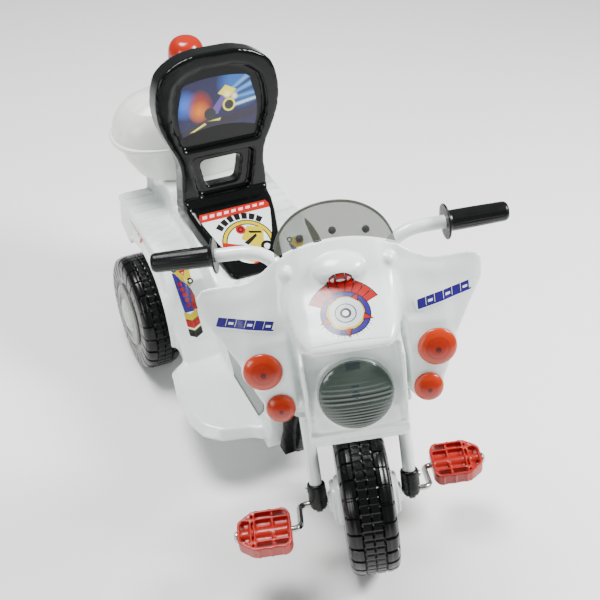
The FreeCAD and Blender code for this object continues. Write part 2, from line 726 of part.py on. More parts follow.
def seat():
    """Saddle and high back in one piece, with a picture panel and a hand hole."""
    saddle = prism("saddle", "YZ_Plane", [
        (388, 257), (392, 266), (500, 323), (512, 325), (560, 325), (577, 315), (577, 292),
        (504, 292),
    ], "seat_half*2")
    plan = prism("saddle_plan", "XY_Plane", [
        (-50, 380), (50, 380), ("seat_half-6", 450), ("seat_half", 505), ("seat_half+3", 590),
        ("-seat_half-3", 590), ("-seat_half", 505), ("-seat_half+6", 450),
    ], 200, lift=200, symmetric=False)
    base = doc.addObject("Part::MultiCommon", "saddle_shape")
    base.Shapes = [saddle, plan]
    lean = move(0, 540, 308) * turn((1, 0, 0), -value("back_lean"))
    half = [(78, 0), (76, 40), (73, 75), (77, 98), (92, 130), (104, 160), (107, 190), (104, 218),
            (94, 244), (66, 262), (34, 270)]
    outline = half + [(-x, z) for x, z in reversed(half)]
    back = prism("seat_back", "XZ_Plane", outline, "back_thick", lift="-back_thick/2")
    back.Placement = lean
    recess = prism("hand_recess", "XZ_Plane", [
        (-44, 26), (44, 26), (56, 96), (-56, 96),
    ], 60, lift=15)
    hole = prism("hand_hole", "XZ_Plane", [(-29, 36), (29, 36), (38, 84), (-38, 84)], 200)
    panel = prism("picture_recess", "XZ_Plane", [
        (-68, 124), (68, 124), (76, 190), (66, 222), (30, 236), (-30, 236), (-66, 222), (-76, 190),
    ], 60, lift=27)
    for tool in (recess, hole, panel):
        tool.Placement = lean
    one = fuse("seat_outside", [base, cut("seat_back_open", back, [recess, panel])])
    keep(cut("seat", one, [hole]), "seat", BODY)


def neck():
    """The black arm that carries the steering head, arched over the front wheel."""
    arm = prism("neck_arm", "YZ_Plane", [
        (52, 276), (66, 246), (165, 60), (177.5, 72), (165.5, 120), (169.5, 190), (199.5, 232.5),
        (240, 240.5), (240, 262), (204, 270), (128, 342), (90, 356),
    ], 76)
    arch = rod("neck_arch", 138, 200, move(-100, 0, "front_radius") * ACROSS)
    flanks = prism("neck_flanks", "YZ_Plane", [
        (110, 225), (150, 70), (177.5, 72), (165.5, 120), (169.5, 190), (195, 226), (150, 250),
    ], 120)
    wide_arch = rod("flank_arch", 158, 200, move(-100, 0, "front_radius") * ACROSS)
    arm = fuse("neck_solid", [
        cut("neck_arm_arched", arm, [arch]), cut("neck_flanks_arched", flanks, [wide_arch]),
    ])
    head = Placement(Vector(0, 0, value("front_radius")), Rotation()) * RAKE
    above = block("above_head", 220, 110, 80, head * move(0, -8, "upper_yoke-4"))
    below = block("below_head", 220, 230, 60, head * move(0, -22, "lower_yoke+yoke_thick+4-60"))
    front = block("front_head", 220, 60, 300, head * move(0, -52, 100))
    bore = rod("head_bore", "head_radius", 260, head * move(0, 0, 100))
    keep(cut("neck_cover", arm, [above, below, front, bore]), "neck_cover", BODY)
    tube = spun("head_tube", [
        ("stem_radius+running_gap", "lower_yoke+yoke_thick+3.4"),
        ("head_radius-0.05", "lower_yoke+yoke_thick+3.4"),
        ("head_radius-0.05", "upper_yoke-3.4"),
        ("stem_radius+running_gap", "upper_yoke-3.4"),
    ])
    keep(tube, "head_tube", BODY * head)


def storage_box():
    """The tub behind the back rest, its domed lid on a rear hinge, and the beacon on the lid."""
    hinge = move(0, "box_rear+3", "box_rim+2")
    knuckle = block("tub_knuckle", 36, 14, 18, hinge * move(0, -3, -11))
    tub = fuse("tub_solid", [shaped("tub", tub_shape()), knuckle])
    bore = rod("tub_bore", "pin_radius", 60, hinge * move(-30, 0, 0) * ACROSS)
    keep(cut("top_box", tub, [bore]), "top_box", BODY)
    lugs = [block(f"lid_lug_{side}", 12, 11, 9, hinge * move(sign * 26, -1.3, -2.8))
            for side, sign in SIDES.items()]
    notch = block("lid_notch", 37, 30, 16, hinge * move(0, 0, -6))
    eye = rod("lid_eye", "pin_radius+running_gap", 120, hinge * move(-60, 0, 0) * ACROSS)
    lid = cut("box_lid", fuse("lid_solid", [shaped("lid", lid_shape()), *lugs]), [notch, eye])
    keep(lid, "box_lid", BODY)
    pin = rod("lid_hinge_pin", "pin_radius", 70, hinge * move(-35, 0, 0) * ACROSS)
    keep(pin, "lid_hinge_pin", BODY)
    top = move(0, 690, "lid_top")
    base = spun("beacon_base", [
        (0, 0.1), ("beacon_radius+2", 0.1), ("beacon_radius+2", 8), ("beacon_radius-3", 12), (0, 12),
    ])
    keep(base, "beacon_base", BODY * top)
    dome = spun("beacon_dome", [
        ("beacon_radius-4", 12.1), ("beacon_radius", 12.1), ("beacon_radius", 66),
        ("beacon_radius-3", 78), ("beacon_radius-11", 88), ("beacon_radius-20", 92), (0, 93),
        (0, 90), ("beacon_radius-20", 89), ("beacon_radius-12", 85.5), ("beacon_radius-6", 77),
        ("beacon_radius-3", 66), ("beacon_radius-3", 14), ("beacon_radius-4", 14),
    ])
    keep(dome, "beacon_dome", BODY * top)


def oval(half_wide, front, rear, height, steps=24, power=2.6):
    """A rounded-rectangle ring of points at one height."""
    middle, reach = (front + rear) / 2, (rear - front) / 2
    points = []
    for step in range(steps):
        angle = 2 * math.pi * step / steps
        c, s = math.cos(angle), math.sin(angle)
        x = half_wide * math.copysign(abs(c) ** (2 / power), c)
        y = middle + reach * math.copysign(abs(s) ** (2 / power), s)
        points.append(Vector(x, y, height))
    return points


def stacked(rings):
    """A closed solid through a stack of rings, capped flat at both ends."""
    faces = []
    for low, high in zip(rings, rings[1:]):
        for a in range(len(low)):
            b = (a + 1) % len(low)
            faces.append([low[a], low[b], high[b]])
            faces.append([low[a], high[b], high[a]])
    for cap, order in ((rings[0], -1), (rings[-1], 1)):
        centre = sum(cap, Vector()) * (1 / len(cap))
        for a in range(len(cap)):
            faces.append([centre, cap[a], cap[(a + 1) % len(cap)]][::order])
    return facets(faces)


def tub_shape():
    front, rear = value("box_front"), value("box_rear")
    floor, rim, half = value("box_floor"), value("box_rim"), value("lid_half")
    outside = [
        oval(half - 48, front, rear - 36, floor),
        oval(half - 34, front, rear - 22, floor + 4),
        oval(half - 20, front, rear - 10, floor + 24),
        oval(half - 13, front, rear - 5, rim - 12),
        oval(half - 11, front, rear - 4, rim),
    ]
    inside = [
        oval(half - 52, front + 5, rear - 40, floor + 5),
        oval(half - 24, front + 5, rear - 15, floor + 25),
        oval(half - 17, front + 5, rear - 10, rim - 12),
        oval(half - 15, front + 5, rear - 9, rim + 1),
    ]
    return stacked(outside).cut(stacked(inside))


def lid_shape():
    front, rear = value("box_front"), value("box_rear")
    rim, half, top = value("box_rim") + 0.6, value("lid_half"), value("lid_top")
    rise = top - rim

    def dome(shrink, lift, drop):
        rings = []
        for share, height in ((1.0, 0.0), (1.02, 0.12), (1.0, 0.30), (0.94, 0.52), (0.84, 0.72),
                              (0.70, 0.87), (0.50, 0.96), (0.30, 1.0)):
            across = (half - shrink) * share
            middle, reach = (front + rear) / 2, ((rear - front) / 2 - shrink) * share
            level = rim + lift + (rise - drop) * height
            rings.append(oval(across, middle - reach, middle + reach, level))
        return stacked(rings)

    return dome(0, 0, 0).cut(dome(4, -1, 3))


def seat_screws():
    """Two domed screws in the top of the shell ahead of the saddle."""
    screws = []
    for number, (x, y) in enumerate(((-30, 350), (30, 350)), 1):
        screw = spun(f"seat_screw_{number}", [(0, 0.1), (6, 0.1), (5, 2.6), (0, 3.6)])
        screw.Placement = move(x, y, 257.9) * turn((1, 0, 0), 2)
        screws.append(screw)
    keep(group("body_screws", screws), "body_screws", BODY)


front_wheel()
crank()
pedals()
rear_wheels()
fork()
rivets()
yokes()
fairing()
windscreen()
stay()
body_shell()
seat()
neck()
storage_box()
seat_screws()
doc.recompute()

faults = [f"{item.Label}: {item.State}" for item in doc.Objects
          if "Invalid" in item.State or "Error" in item.State]
for part in PARTS:
    shape = part.Shape
    if shape.isNull() or not shape.isValid() or not shape.Solids:
        faults.append(f"{part.Label}: bad shape")
if faults:
    raise RuntimeError("; ".join(faults))

os.makedirs("parts", exist_ok=True)
for part in PARTS:
    part.Shape.exportStep(f"parts/{part.Label}.step")
print(len(PARTS), "nodes written")
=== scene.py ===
"""The looks of the pedal tricycle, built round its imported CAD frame.

Millimetres in the local frames below, metres in the meshes. The frames are the CAD's:
  BODY     X to the tricycle's left, Y from the front axle to the rear, Z from the ground
  UPRIGHT  the same, but turned with the steered fork
  FORK     Z along the steering axis, from the middle of the front axle
  WHEEL    from the same point, X along the front axle and Z upright
  CRANK    WHEEL turned about the axle until its Y lies along the two cranks
"""
import json
import math
import bmesh
import bpy
import numpy as np
from mathutils import Matrix, Vector
from mathutils.bvhtree import BVHTree


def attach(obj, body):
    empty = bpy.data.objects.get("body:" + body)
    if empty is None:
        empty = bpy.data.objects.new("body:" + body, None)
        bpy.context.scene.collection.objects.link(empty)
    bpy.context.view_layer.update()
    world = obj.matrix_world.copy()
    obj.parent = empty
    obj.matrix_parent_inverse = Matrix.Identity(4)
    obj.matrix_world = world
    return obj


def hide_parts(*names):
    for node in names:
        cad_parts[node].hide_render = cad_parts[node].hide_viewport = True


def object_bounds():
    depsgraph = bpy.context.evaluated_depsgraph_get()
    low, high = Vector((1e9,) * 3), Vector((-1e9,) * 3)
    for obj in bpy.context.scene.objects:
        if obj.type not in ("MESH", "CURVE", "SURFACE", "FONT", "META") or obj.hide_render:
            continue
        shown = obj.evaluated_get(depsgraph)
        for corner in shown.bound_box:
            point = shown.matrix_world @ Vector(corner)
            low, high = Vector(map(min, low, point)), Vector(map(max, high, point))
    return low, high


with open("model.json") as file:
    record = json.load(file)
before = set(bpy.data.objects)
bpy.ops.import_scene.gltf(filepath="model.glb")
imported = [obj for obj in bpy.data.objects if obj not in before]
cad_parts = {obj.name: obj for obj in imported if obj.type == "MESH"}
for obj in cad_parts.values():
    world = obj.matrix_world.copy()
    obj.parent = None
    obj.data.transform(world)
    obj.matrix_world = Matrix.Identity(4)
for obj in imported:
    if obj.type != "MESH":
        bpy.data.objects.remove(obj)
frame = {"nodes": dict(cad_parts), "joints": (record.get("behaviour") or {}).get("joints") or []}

cad_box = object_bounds()
JOINTS = {joint["name"]: joint for joint in frame["joints"]}
SIDES = {"left": 1, "right": -1}
MM = 0.001


def axes_at(x, y, z, origin):
    """A frame from its three axes and its origin."""
    matrix = Matrix((x, y, z)).transposed().to_4x4()
    matrix.translation = origin
    return matrix


def spot(joint):
    """Where a joint of the CAD is, in millimetres."""
    return Vector(JOINTS[joint]["pos_m"]) / MM


def shift(x, y, z):
    """A move as a matrix."""
    return Matrix.Translation((x, y, z))


def spin(axis, degrees):
    """A turn about one axis as a matrix."""
    return Matrix.Rotation(math.radians(degrees), 4, axis)


AXLE = spot("steering")
STEM = Vector(JOINTS["steering"]["axis"]).normalized()
ACROSS = Vector(JOINTS["front_wheel_spin"]["axis"]).normalized()
RAKE = math.degrees(math.atan2(STEM.y, STEM.z))
BODY = shift(AXLE.x, AXLE.y, 0)
FORK = axes_at(ACROSS, STEM.cross(ACROSS), STEM, AXLE)
WHEEL = FORK @ spin("X", RAKE)
UPRIGHT = WHEEL @ shift(0, 0, -AXLE.z)
# The cranks: their angle at rest, their throw, and how far out they bend and end.
CRANK_LIFT, CRANK_THROW, CRANK_BEND, CRANK_END = 25.3, 68, 98, 192
CRANK = WHEEL @ spin("X", -CRANK_LIFT)
# From the middle to a fork leg; the two axles as (y, z) in BODY; the tilts in degrees.
LEG = 69
REAR, FRONT = (552, 104), (0, 112)
LAMP_TILT, SIGNAL_TILT = 19, 71


# ---- materials -------------------------------------------------------------------------


class Paint:
    """A node material whose colour is laid on in layers over a surface's own coordinates.

    The coordinates are the "paint" attribute of the mesh, in millimetres.
    """

    def __init__(self, name, colour, rough=0.3, edge=0.35, **sockets):
        self.material = bpy.data.materials.new(name)
        self.material.use_nodes = True
        self.tree = self.material.node_tree
        self.shader = self.tree.nodes["Principled BSDF"]
        self.edge = edge
        for socket, number in sockets.items():
            self.shader.inputs[socket.replace("_", " ")].default_value = number
        self.u = self.v = None
        self.place = self.node("ShaderNodeTexCoord").outputs["Object"]
        self.grain(rough)
        self.colour = self.vary(colour)

    def node(self, kind, **fields):
        node = self.tree.nodes.new(kind)
        for field, choice in fields.items():
            setattr(node, field, choice)
        return node

    def feed(self, socket, source):
        if isinstance(source, (int, float)):
            socket.default_value = source
        elif isinstance(source, tuple):
            socket.default_value = (*source, 1) if len(source) == 3 else source
        else:
            self.tree.links.new(source, socket)

    def calc(self, operation, *sources, clamp=False):
        node = self.node("ShaderNodeMath", operation=operation, use_clamp=clamp)
        for socket, source in zip(node.inputs, sources):
            self.feed(socket, source)
        return node.outputs[0]

    def noise(self, scale, detail=3):
        node = self.node("ShaderNodeTexNoise")
        node.inputs["Scale"].default_value = scale
        node.inputs["Detail"].default_value = detail
        self.feed(node.inputs["Vector"], self.place)
        return node.outputs["Fac"]

    def blend(self, share, below, above):
        node = self.node("ShaderNodeMix", data_type="RGBA")
        self.feed(node.inputs["Factor"], share)
        self.feed(node.inputs["A"], below)
        self.feed(node.inputs["B"], above)
        return node.outputs["Result"]

    def vary(self, colour, amount=0.07):
        """A colour that drifts a little over the surface, as moulded plastic does."""
        deeper = tuple(c * (1 - amount) for c in colour)
        share = self.calc("MULTIPLY_ADD", self.noise(9), 2.2, -0.6, clamp=True)
        return self.blend(share, colour, deeper)

    def grain(self, rough):
        """Roughness with faint wear in it, and a surface that is never quite flat."""
        wear = self.calc("MULTIPLY_ADD", self.noise(38, 6), 0.16, rough - 0.08)
        self.feed(self.shader.inputs["Roughness"], wear)

    def bump(self, scale, height, strength=0.3):
        """Add a layer of relief; height is in millimetres."""
        node = self.node("ShaderNodeBump")
        node.inputs["Strength"].default_value = strength
        node.inputs["Distance"].default_value = height * MM
        self.feed(node.inputs["Height"], self.noise(scale, 2))
        for link in list(self.tree.links):
            if link.to_socket == self.shader.inputs["Normal"]:
                self.feed(node.inputs["Normal"], link.from_socket)
        self.feed(self.shader.inputs["Normal"], node.outputs["Normal"])
        return self

    def coordinates(self):
        if self.u is None:
            source = self.node("ShaderNodeAttribute", attribute_name="paint")
            apart = self.node("ShaderNodeSeparateXYZ")
            self.feed(apart.inputs[0], source.outputs["Vector"])
            self.u, self.v = apart.outputs[0], apart.outputs[1]
        return self.u, self.v

    def lay(self, inside, colour):
        """Add a layer where a distance, in millimetres, is above nought."""
        share = self.calc("MULTIPLY_ADD", inside, 1 / self.edge, 0.5, clamp=True)
        self.colour = self.blend(share, self.colour, colour)
        return self

    def radius(self, x, y, squeeze=1.0):
        u, v = self.coordinates()
        du = self.calc("MULTIPLY", self.calc("SUBTRACT", u, x), squeeze)
        dv = self.calc("SUBTRACT", v, y)
        return self.calc("SQRT", self.calc("ADD", self.calc("MULTIPLY", du, du),
                                           self.calc("MULTIPLY", dv, dv)))

    def disc(self, x, y, r, colour, squeeze=1.0):
        return self.lay(self.calc("SUBTRACT", r, self.radius(x, y, squeeze)), colour)

    def hoop(self, x, y, inner, outer, colour, squeeze=1.0):
        far = self.radius(x, y, squeeze)
        inside = self.calc("MINIMUM", self.calc("SUBTRACT", far, inner), self.calc("SUBTRACT", outer, far))
        return self.lay(inside, colour)

    def within(self, corners):
        """The distance inside a convex outline given anticlockwise."""
        u, v = self.coordinates()
        inside = None
        for (ax, ay), (bx, by) in zip(corners, corners[1:] + corners[:1]):
            long = math.hypot(bx - ax, by - ay)
            nx, ny = -(by - ay) / long, (bx - ax) / long
            side = self.calc("MULTIPLY_ADD", u, nx, -(nx * ax + ny * ay))
            side = self.calc("MULTIPLY_ADD", v, ny, side)
            inside = side if inside is None else self.calc("MINIMUM", inside, side)
        return inside

    def shape(self, corners, colour):
        turn = sum(a[0] * b[1] - b[0] * a[1] for a, b in zip(corners, corners[1:] + corners[:1]))
        return self.lay(self.within(corners if turn > 0 else corners[::-1]), colour)

    def done(self):
        self.feed(self.shader.inputs["Base Color"], self.colour)
        return self.material


def plastic(name, colour, rough, wave=0.25, coat=0.35, **sockets):
    """Moulded plastic: a slow wave from the mould and a fine grain over it."""
    paint = Paint(name, colour, rough, Coat_Weight=coat, Coat_Roughness=0.12, **sockets)
    paint.bump(14, wave, 0.25)
    paint.bump(900, 0.05, 0.25)
    return paint.done()


def metal(name, colour, rough):
    """Plated or bare metal with a fine grain."""
    paint = Paint(name, colour, rough, Metallic=1.0)
    paint.bump(260, 0.05, 0.4)
    return paint.done()


BLUE = (0.022, 0.008, 0.17)
RED = (0.33, 0.005, 0.003)
YELLOW = (0.47, 0.37, 0.0005)
INK = (0.004, 0.004, 0.004)
PAPER = (0.80, 0.86, 0.84)
GREEN = (0.08, 0.32, 0.04)
WHITE = plastic("white_moulding", (0.80, 0.865, 0.835), 0.26)
CREAM = plastic("box_moulding", (0.80, 0.83, 0.77), 0.32)
BLACK_GLOSS = plastic("black_gloss", (0.0026, 0.0032, 0.003), 0.13, wave=0.35, coat=0.05,
                      Specular_IOR_Level=0.24)
BLACK_SATIN = plastic("black_satin", (0.004, 0.0045, 0.0042), 0.28, coat=0, Specular_IOR_Level=0.24)
TREAD = plastic("tyre_black", (0.003, 0.0033, 0.003), 0.22, wave=0.4, coat=0, Specular_IOR_Level=0.26)
HUB = plastic("hub_plastic", (0.60, 0.66, 0.63), 0.3)
ENAMEL = plastic("white_enamel", (0.78, 0.84, 0.81), 0.18, wave=0.05, coat=0.6)
PEDAL = plastic("pedal_red", (0.33, 0.007, 0.0022), 0.30, wave=0.1, coat=0.0)
SMOKE = plastic("smoked_sheet", (0.085, 0.095, 0.07), 0.10, wave=0.1, coat=0.3, Alpha=0.55)
SMOKE_RIM = plastic("smoked_edge", (0.07, 0.085, 0.075), 0.15, wave=0.1, coat=0.2, Alpha=0.9)
BEACON = plastic("beacon_orange", (0.36, 0.012, 0.0008), 0.24, wave=0.1, coat=0.1)
ZINC = metal("zinc_plate", (0.52, 0.52, 0.49), 0.24)
STEEL = plastic("grey_enamel", (0.36, 0.38, 0.37), 0.35, wave=0.05)
SCREW = plastic("screw_black", (0.02, 0.022, 0.02), 0.4, coat=0)
DISH = metal("lamp_dish", (0.62, 0.64, 0.62), 0.12)
NYLON = plastic("nylon", (0.62, 0.61, 0.56), 0.45)


# ---- meshes ----------------------------------------------------------------------------


def raw(name, points, faces):
    """A Blender object from points in metres."""
    mesh = bpy.data.meshes.new(name)
    mesh.from_pydata([tuple(p) for p in points], [], [tuple(f) for f in faces])
    mesh.validate()
    piece = bpy.data.objects.new(name, mesh)
    bpy.context.scene.collection.objects.link(piece)
    return piece


def outward(piece):
    """Turn every face of a closed mesh outwards."""
    net = bmesh.new()
    net.from_mesh(piece.data)
    bmesh.ops.recalc_face_normals(net, faces=net.faces)
    net.to_mesh(piece.data)
    net.free()
    return piece


def placed(name, points, faces, place):
    """An object from points in millimetres in a local frame."""
    matrix = np.array(place)
    points = np.asarray(points, float)
    world = (points @ matrix[:3, :3].T + matrix[:3, 3]) * MM
    return outward(raw(name, world, faces))


def applied(piece, kind, **fields):
    """Add one modifier to a piece and make it part of the mesh."""
    modifier = piece.modifiers.new(kind, kind)
    for field, choice in fields.items():
        setattr(modifier, field, choice)
    graph = bpy.context.evaluated_depsgraph_get()
    mesh = bpy.data.meshes.new_from_object(piece.evaluated_get(graph), preserve_all_data_layers=True,
                                           depsgraph=graph)
    piece.modifiers.clear()
    old = piece.data
    piece.data = mesh
    bpy.data.meshes.remove(old)
    return piece


def gone(piece):
    """Delete a piece and its mesh."""
    mesh = piece.data
    bpy.data.objects.remove(piece)
    bpy.data.meshes.remove(mesh)


def joined(name, pieces):
    """Several closed meshes as one object, still overlapping."""
    points, faces = [], []
    for piece in pieces:
        base = len(points)
        points += [tuple(v.co) for v in piece.data.vertices]
        faces += [[base + i for i in f.vertices] for f in piece.data.polygons]
        gone(piece)
    return raw(name, points, faces)


def without(piece, cutters):
    """A piece with closed cutters taken out of it; a list of cutters that stay apart is one cut."""
    cutters = [joined("cutter", group) if isinstance(group, list) else group for group in cutters]
    for cutter in cutters:
        applied(piece, "BOOLEAN", operation="DIFFERENCE", solver="EXACT", object=cutter)
    for cutter in cutters:
        gone(cutter)
    return piece


def moulded(name, pieces, voxel, rounds, cutters=()):
    """Overlapping solids run together into one skin with soft corners, as blow moulding leaves them."""
    whole = joined(name, pieces)
    applied(whole, "REMESH", mode="VOXEL", voxel_size=voxel * MM, adaptivity=0)
    if cutters:
        without(whole, cutters)
        applied(whole, "REMESH", mode="VOXEL", voxel_size=voxel * MM, adaptivity=0)
    if rounds:
        applied(whole, "SMOOTH", factor=0.5, iterations=rounds)
    return whole


def finish(piece, material, body, replaces=(), sharp=40):
    """Shade a piece, give it its material and tie it to its body."""
    mesh = piece.data
    mesh.polygons.foreach_set("use_smooth", [True] * len(mesh.polygons))
    mesh.set_sharp_from_angle(angle=math.radians(sharp))
    mesh.materials.clear()
    mesh.materials.append(material)
    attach(piece, body)
    for node in ([replaces] if isinstance(replaces, str) else replaces):
        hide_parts(node)
    return piece


def quads(wide, high, wrap_u=False, wrap_v=False):
    """Faces of a net stored column by column."""
    faces = []
    for i in range(wide if wrap_u else wide - 1):
        for j in range(high if wrap_v else high - 1):
            k, m = (i + 1) % wide, (j + 1) % high
            faces.append((i * high + j, k * high + j, k * high + m, i * high + m))
    return faces


def net(name, columns, place, **wraps):
    """A surface through columns of points."""
    grid = np.asarray(columns, float)
    return placed(name, grid.reshape(-1, 3), quads(grid.shape[0], grid.shape[1], **wraps), place)


def welded(piece, near):
    """Merge points nearer to each other than this, in metres."""
    mesh = bmesh.new()
    mesh.from_mesh(piece.data)
    bmesh.ops.remove_doubles(mesh, verts=mesh.verts, dist=near)
    bmesh.ops.dissolve_degenerate(mesh, edges=mesh.edges, dist=1e-7)
    mesh.to_mesh(piece.data)
    mesh.free()
    return outward(piece)


def lathe(name, outline, place, steps=96, ripple=None):
    """A closed outline of (radius, height) pairs spun about Z."""
    columns = []
    for step in range(steps):
        angle = 2 * math.pi * step / steps
        column = []
        for r, z in outline:
            if ripple:
                r, z = ripple(angle, r, z)
            column.append((r * math.cos(angle), r * math.sin(angle), z))
        columns.append(column)
    return welded(net(name, columns, place, wrap_u=True, wrap_v=True), 1e-6)


def rounded(outline, size, steps=4, closed=True):
    """An outline of pairs with its corners rounded; a third number in a point is its own radius."""
    points = []
    count = len(outline)
    for i, point in enumerate(outline):
        here = Vector(point[:2])
        r = point[2] if len(point) > 2 else size
        if r <= 0 or (not closed and i in (0, count - 1)):
            points.append(tuple(here))
            continue
        back, ahead = Vector(outline[i - 1][:2]) - here, Vector(outline[(i + 1) % count][:2]) - here
        if back.length < 1e-9 or ahead.length < 1e-9:
            points.append(tuple(here))
            continue
        half = back.angle(ahead) / 2
        reach = min(r / max(math.tan(half), 1e-3), back.length * 0.48, ahead.length * 0.48)
        a, b = here + back.normalized() * reach, here + ahead.normalized() * reach
        for step in range(steps + 1):
            t = step / steps
            points.append(tuple(a * (1 - t) ** 2 + here * 2 * t * (1 - t) + b * t ** 2))
    return points


def prism(name, outline, low, high, axis="Z", place=BODY):
    """An outline pushed along one axis: (x, y) along Z, (y, z) along X, or (x, z) along Y."""
    order = {"Z": lambda a, b, c: (a, b, c), "X": lambda a, b, c: (c, a, b),
             "Y": lambda a, b, c: (a, c, b)}[axis]
    count = len(outline)
    points = [order(a, b, level) for level in (low, high) for a, b, *_ in outline]
    faces = [tuple(range(count)), tuple(range(2 * count - 1, count - 1, -1))]
    faces += [(i, (i + 1) % count, count + (i + 1) % count, count + i) for i in range(count)]
    return placed(name, points, faces, place)


def loft(name, rings, place=BODY):
    """A closed solid through rings of the same number of points, capped at both ends."""
    count = len(rings[0])
    points = [p for ring in rings for p in ring]
    last = (len(rings) - 1) * count
    faces = [tuple(range(count)), tuple(range(last + count - 1, last - 1, -1))]
    for level in range(len(rings) - 1):
        base = level * count
        for i in range(count):
            k = (i + 1) % count
            faces.append((base + i, base + k, base + count + k, base + count + i))
    return placed(name, points, faces, place)


def ball(name, centre, radii, place=BODY, steps=24):
    """An ellipsoid."""
    rings = []
    for level in range(1, steps // 2):
        tilt = math.pi * level / (steps // 2)
        rings.append([(centre[0] + radii[0] * math.sin(tilt) * math.cos(2 * math.pi * i / steps),
                       centre[1] + radii[1] * math.sin(tilt) * math.sin(2 * math.pi * i / steps),
                       centre[2] - radii[2] * math.cos(tilt)) for i in range(steps)])
    return loft(name, rings, place)


def tube(name, route, radius, place, steps=28):
    """A round bar along a route of points."""
    path = [Vector(p) for p in route]
    side = None
    columns = []
    for i, here in enumerate(path):
        ahead = (path[min(i + 1, len(path) - 1)] - path[max(i - 1, 0)]).normalized()
        if side is None:
            side = ahead.orthogonal().normalized()
        side = (side - ahead * side.dot(ahead)).normalized()
        up = ahead.cross(side)
        columns.append([tuple(here + side * radius * math.cos(2 * math.pi * k / steps)
                              + up * radius * math.sin(2 * math.pi * k / steps)) for k in range(steps)])
    return loft(name, columns, place)


def bent(points, radius, steps=8):
    """A route of points in one plane with its corners rounded."""
    return rounded(points, radius, steps, closed=False)


def arc(middle, radius, start=0, stop=360, step=5):
    """Points on a circle, from start up to stop in degrees."""
    return [(middle[0] + radius * math.cos(a), middle[1] + radius * math.sin(a))
            for a in np.radians(np.arange(start, stop, step))]


def span(sign, near, far):
    """The lower and the higher end of a range given outwards from the middle."""
    return sorted((sign * near, sign * far))


# ---- wheels ----------------------------------------------------------------------------


STEPS_PER_LUG, STEPS_PER_GAP = 18, 3


def treaded(name, radius, half, opening, place, lugs, wall_lugs):
    """A blow-moulded tyre with small blocks along its middle and big lugs at its shoulders."""
    outline = rounded([
        (opening, half - 5, 0), (opening + 8, half - 3), (radius * 0.66, half), (radius * 0.88, half - 0.5),
        (radius * 0.975, half - 5), (radius, half - 16), (radius, 0, 0),
    ], 12, 8, closed=False)
    crown = [p for p in outline if p[0] > radius - 0.3]
    outline = [p for p in outline if p[0] <= radius - 0.3]
    outline += [(radius, w) for w in np.linspace(crown[0][1], 0, 13)]
    outline += [(r, -w) for r, w in reversed(outline[:-1])]
    inner = [(opening, -half + 9), (radius * 0.7, -half + 4), (radius - 6, -half + 12),
             (radius - 6, half - 12), (radius * 0.7, half - 4), (opening, half - 9)]
    steps = lugs * STEPS_PER_LUG
    columns = []
    for step in range(steps):
        angle = 2 * math.pi * step / steps
        column = []
        for r, w in outline:
            across, depth = abs(w), 0.0
            offset = STEPS_PER_LUG // 2 if w > 0 else 0
            in_gap = (step + offset) % STEPS_PER_LUG < STEPS_PER_GAP
            if r > radius * 0.9:
                if across < 1.3 or 13 <= across < 15:
                    depth = 2.2
                elif across < 13:
                    depth = 1.5 if step % (STEPS_PER_LUG // 2) < 2 else 0.0
                elif in_gap:
                    depth = 3.2
            elif wall_lugs and r > radius * 0.70 and in_gap:
                w = math.copysign(across - 2.2, w)
            column.append(((r - depth) * math.cos(angle), (r - depth) * math.sin(angle), w))
        column += [(r * math.cos(angle), r * math.sin(angle), w) for r, w in inner]
        columns.append(column)
    return net(name, columns, place, wrap_u=True, wrap_v=True)


def front_wheel():
    """Tyre, two hub discs, and the crank rod with a cap at each end."""
    facing = WHEEL @ spin("Y", 90)
    finish(treaded("front_tread", 112, 37, 37.2, facing, 28, False), TREAD, "front_wheel", "front_tyre",
           sharp=50)
    for side, sign in SIDES.items():
        def ribs(angle, r, z):
            wave = 0.7 if 22 < r < 30 and math.cos(12 * angle) > 0.86 else 0
            return r, z + wave
        outline = rounded([(4.6, 0.2, 0), (12, 0.2, 0), (12, 26), (37, 26), (37, 39), (34, 43), (31, 42.4),
                           (31, 47), (28.5, 49.4), (20, 49), (17, 50.6), (15.5, 51), (13.5, 54),
                           (4.6, 54.2, 0)], 1.6, 3)
        hub = lathe(f"front_hub_disc_{side}", outline, WHEEL @ spin("Y", 90 * sign), 96, ribs)
        finish(hub, HUB, "front_wheel", f"front_hub_{side}")
    route = bent([(-CRANK_END, -CRANK_THROW), (-CRANK_BEND, -CRANK_THROW), (-CRANK_BEND, 0), (CRANK_BEND, 0),
                  (CRANK_BEND, CRANK_THROW), (CRANK_END, CRANK_THROW)], 13)
    rod = tube("crank_rod", [(x, z, 0) for x, z in route], 4.5, CRANK)
    finish(rod, ZINC, "front_wheel", "crank_axle")
    for side, sign in SIDES.items():
        end = CRANK @ shift(sign * 188, sign * CRANK_THROW, 0) @ spin("Y", 90 * sign)
        cap = lathe(f"pedal_nut_{side}",
                    rounded([(0.01, 6.0, 0), (3.4, 5.8), (6.2, 4.6), (8.5, 2.2), (8.5, 0.5, 0),
                             (4.6, 0.5, 0), (4.6, 4.2, 0), (0.01, 4.2, 0)], 1.2, 3), end, 40)
        finish(cap, ZINC, "front_wheel", f"pedal_cap_{side}")


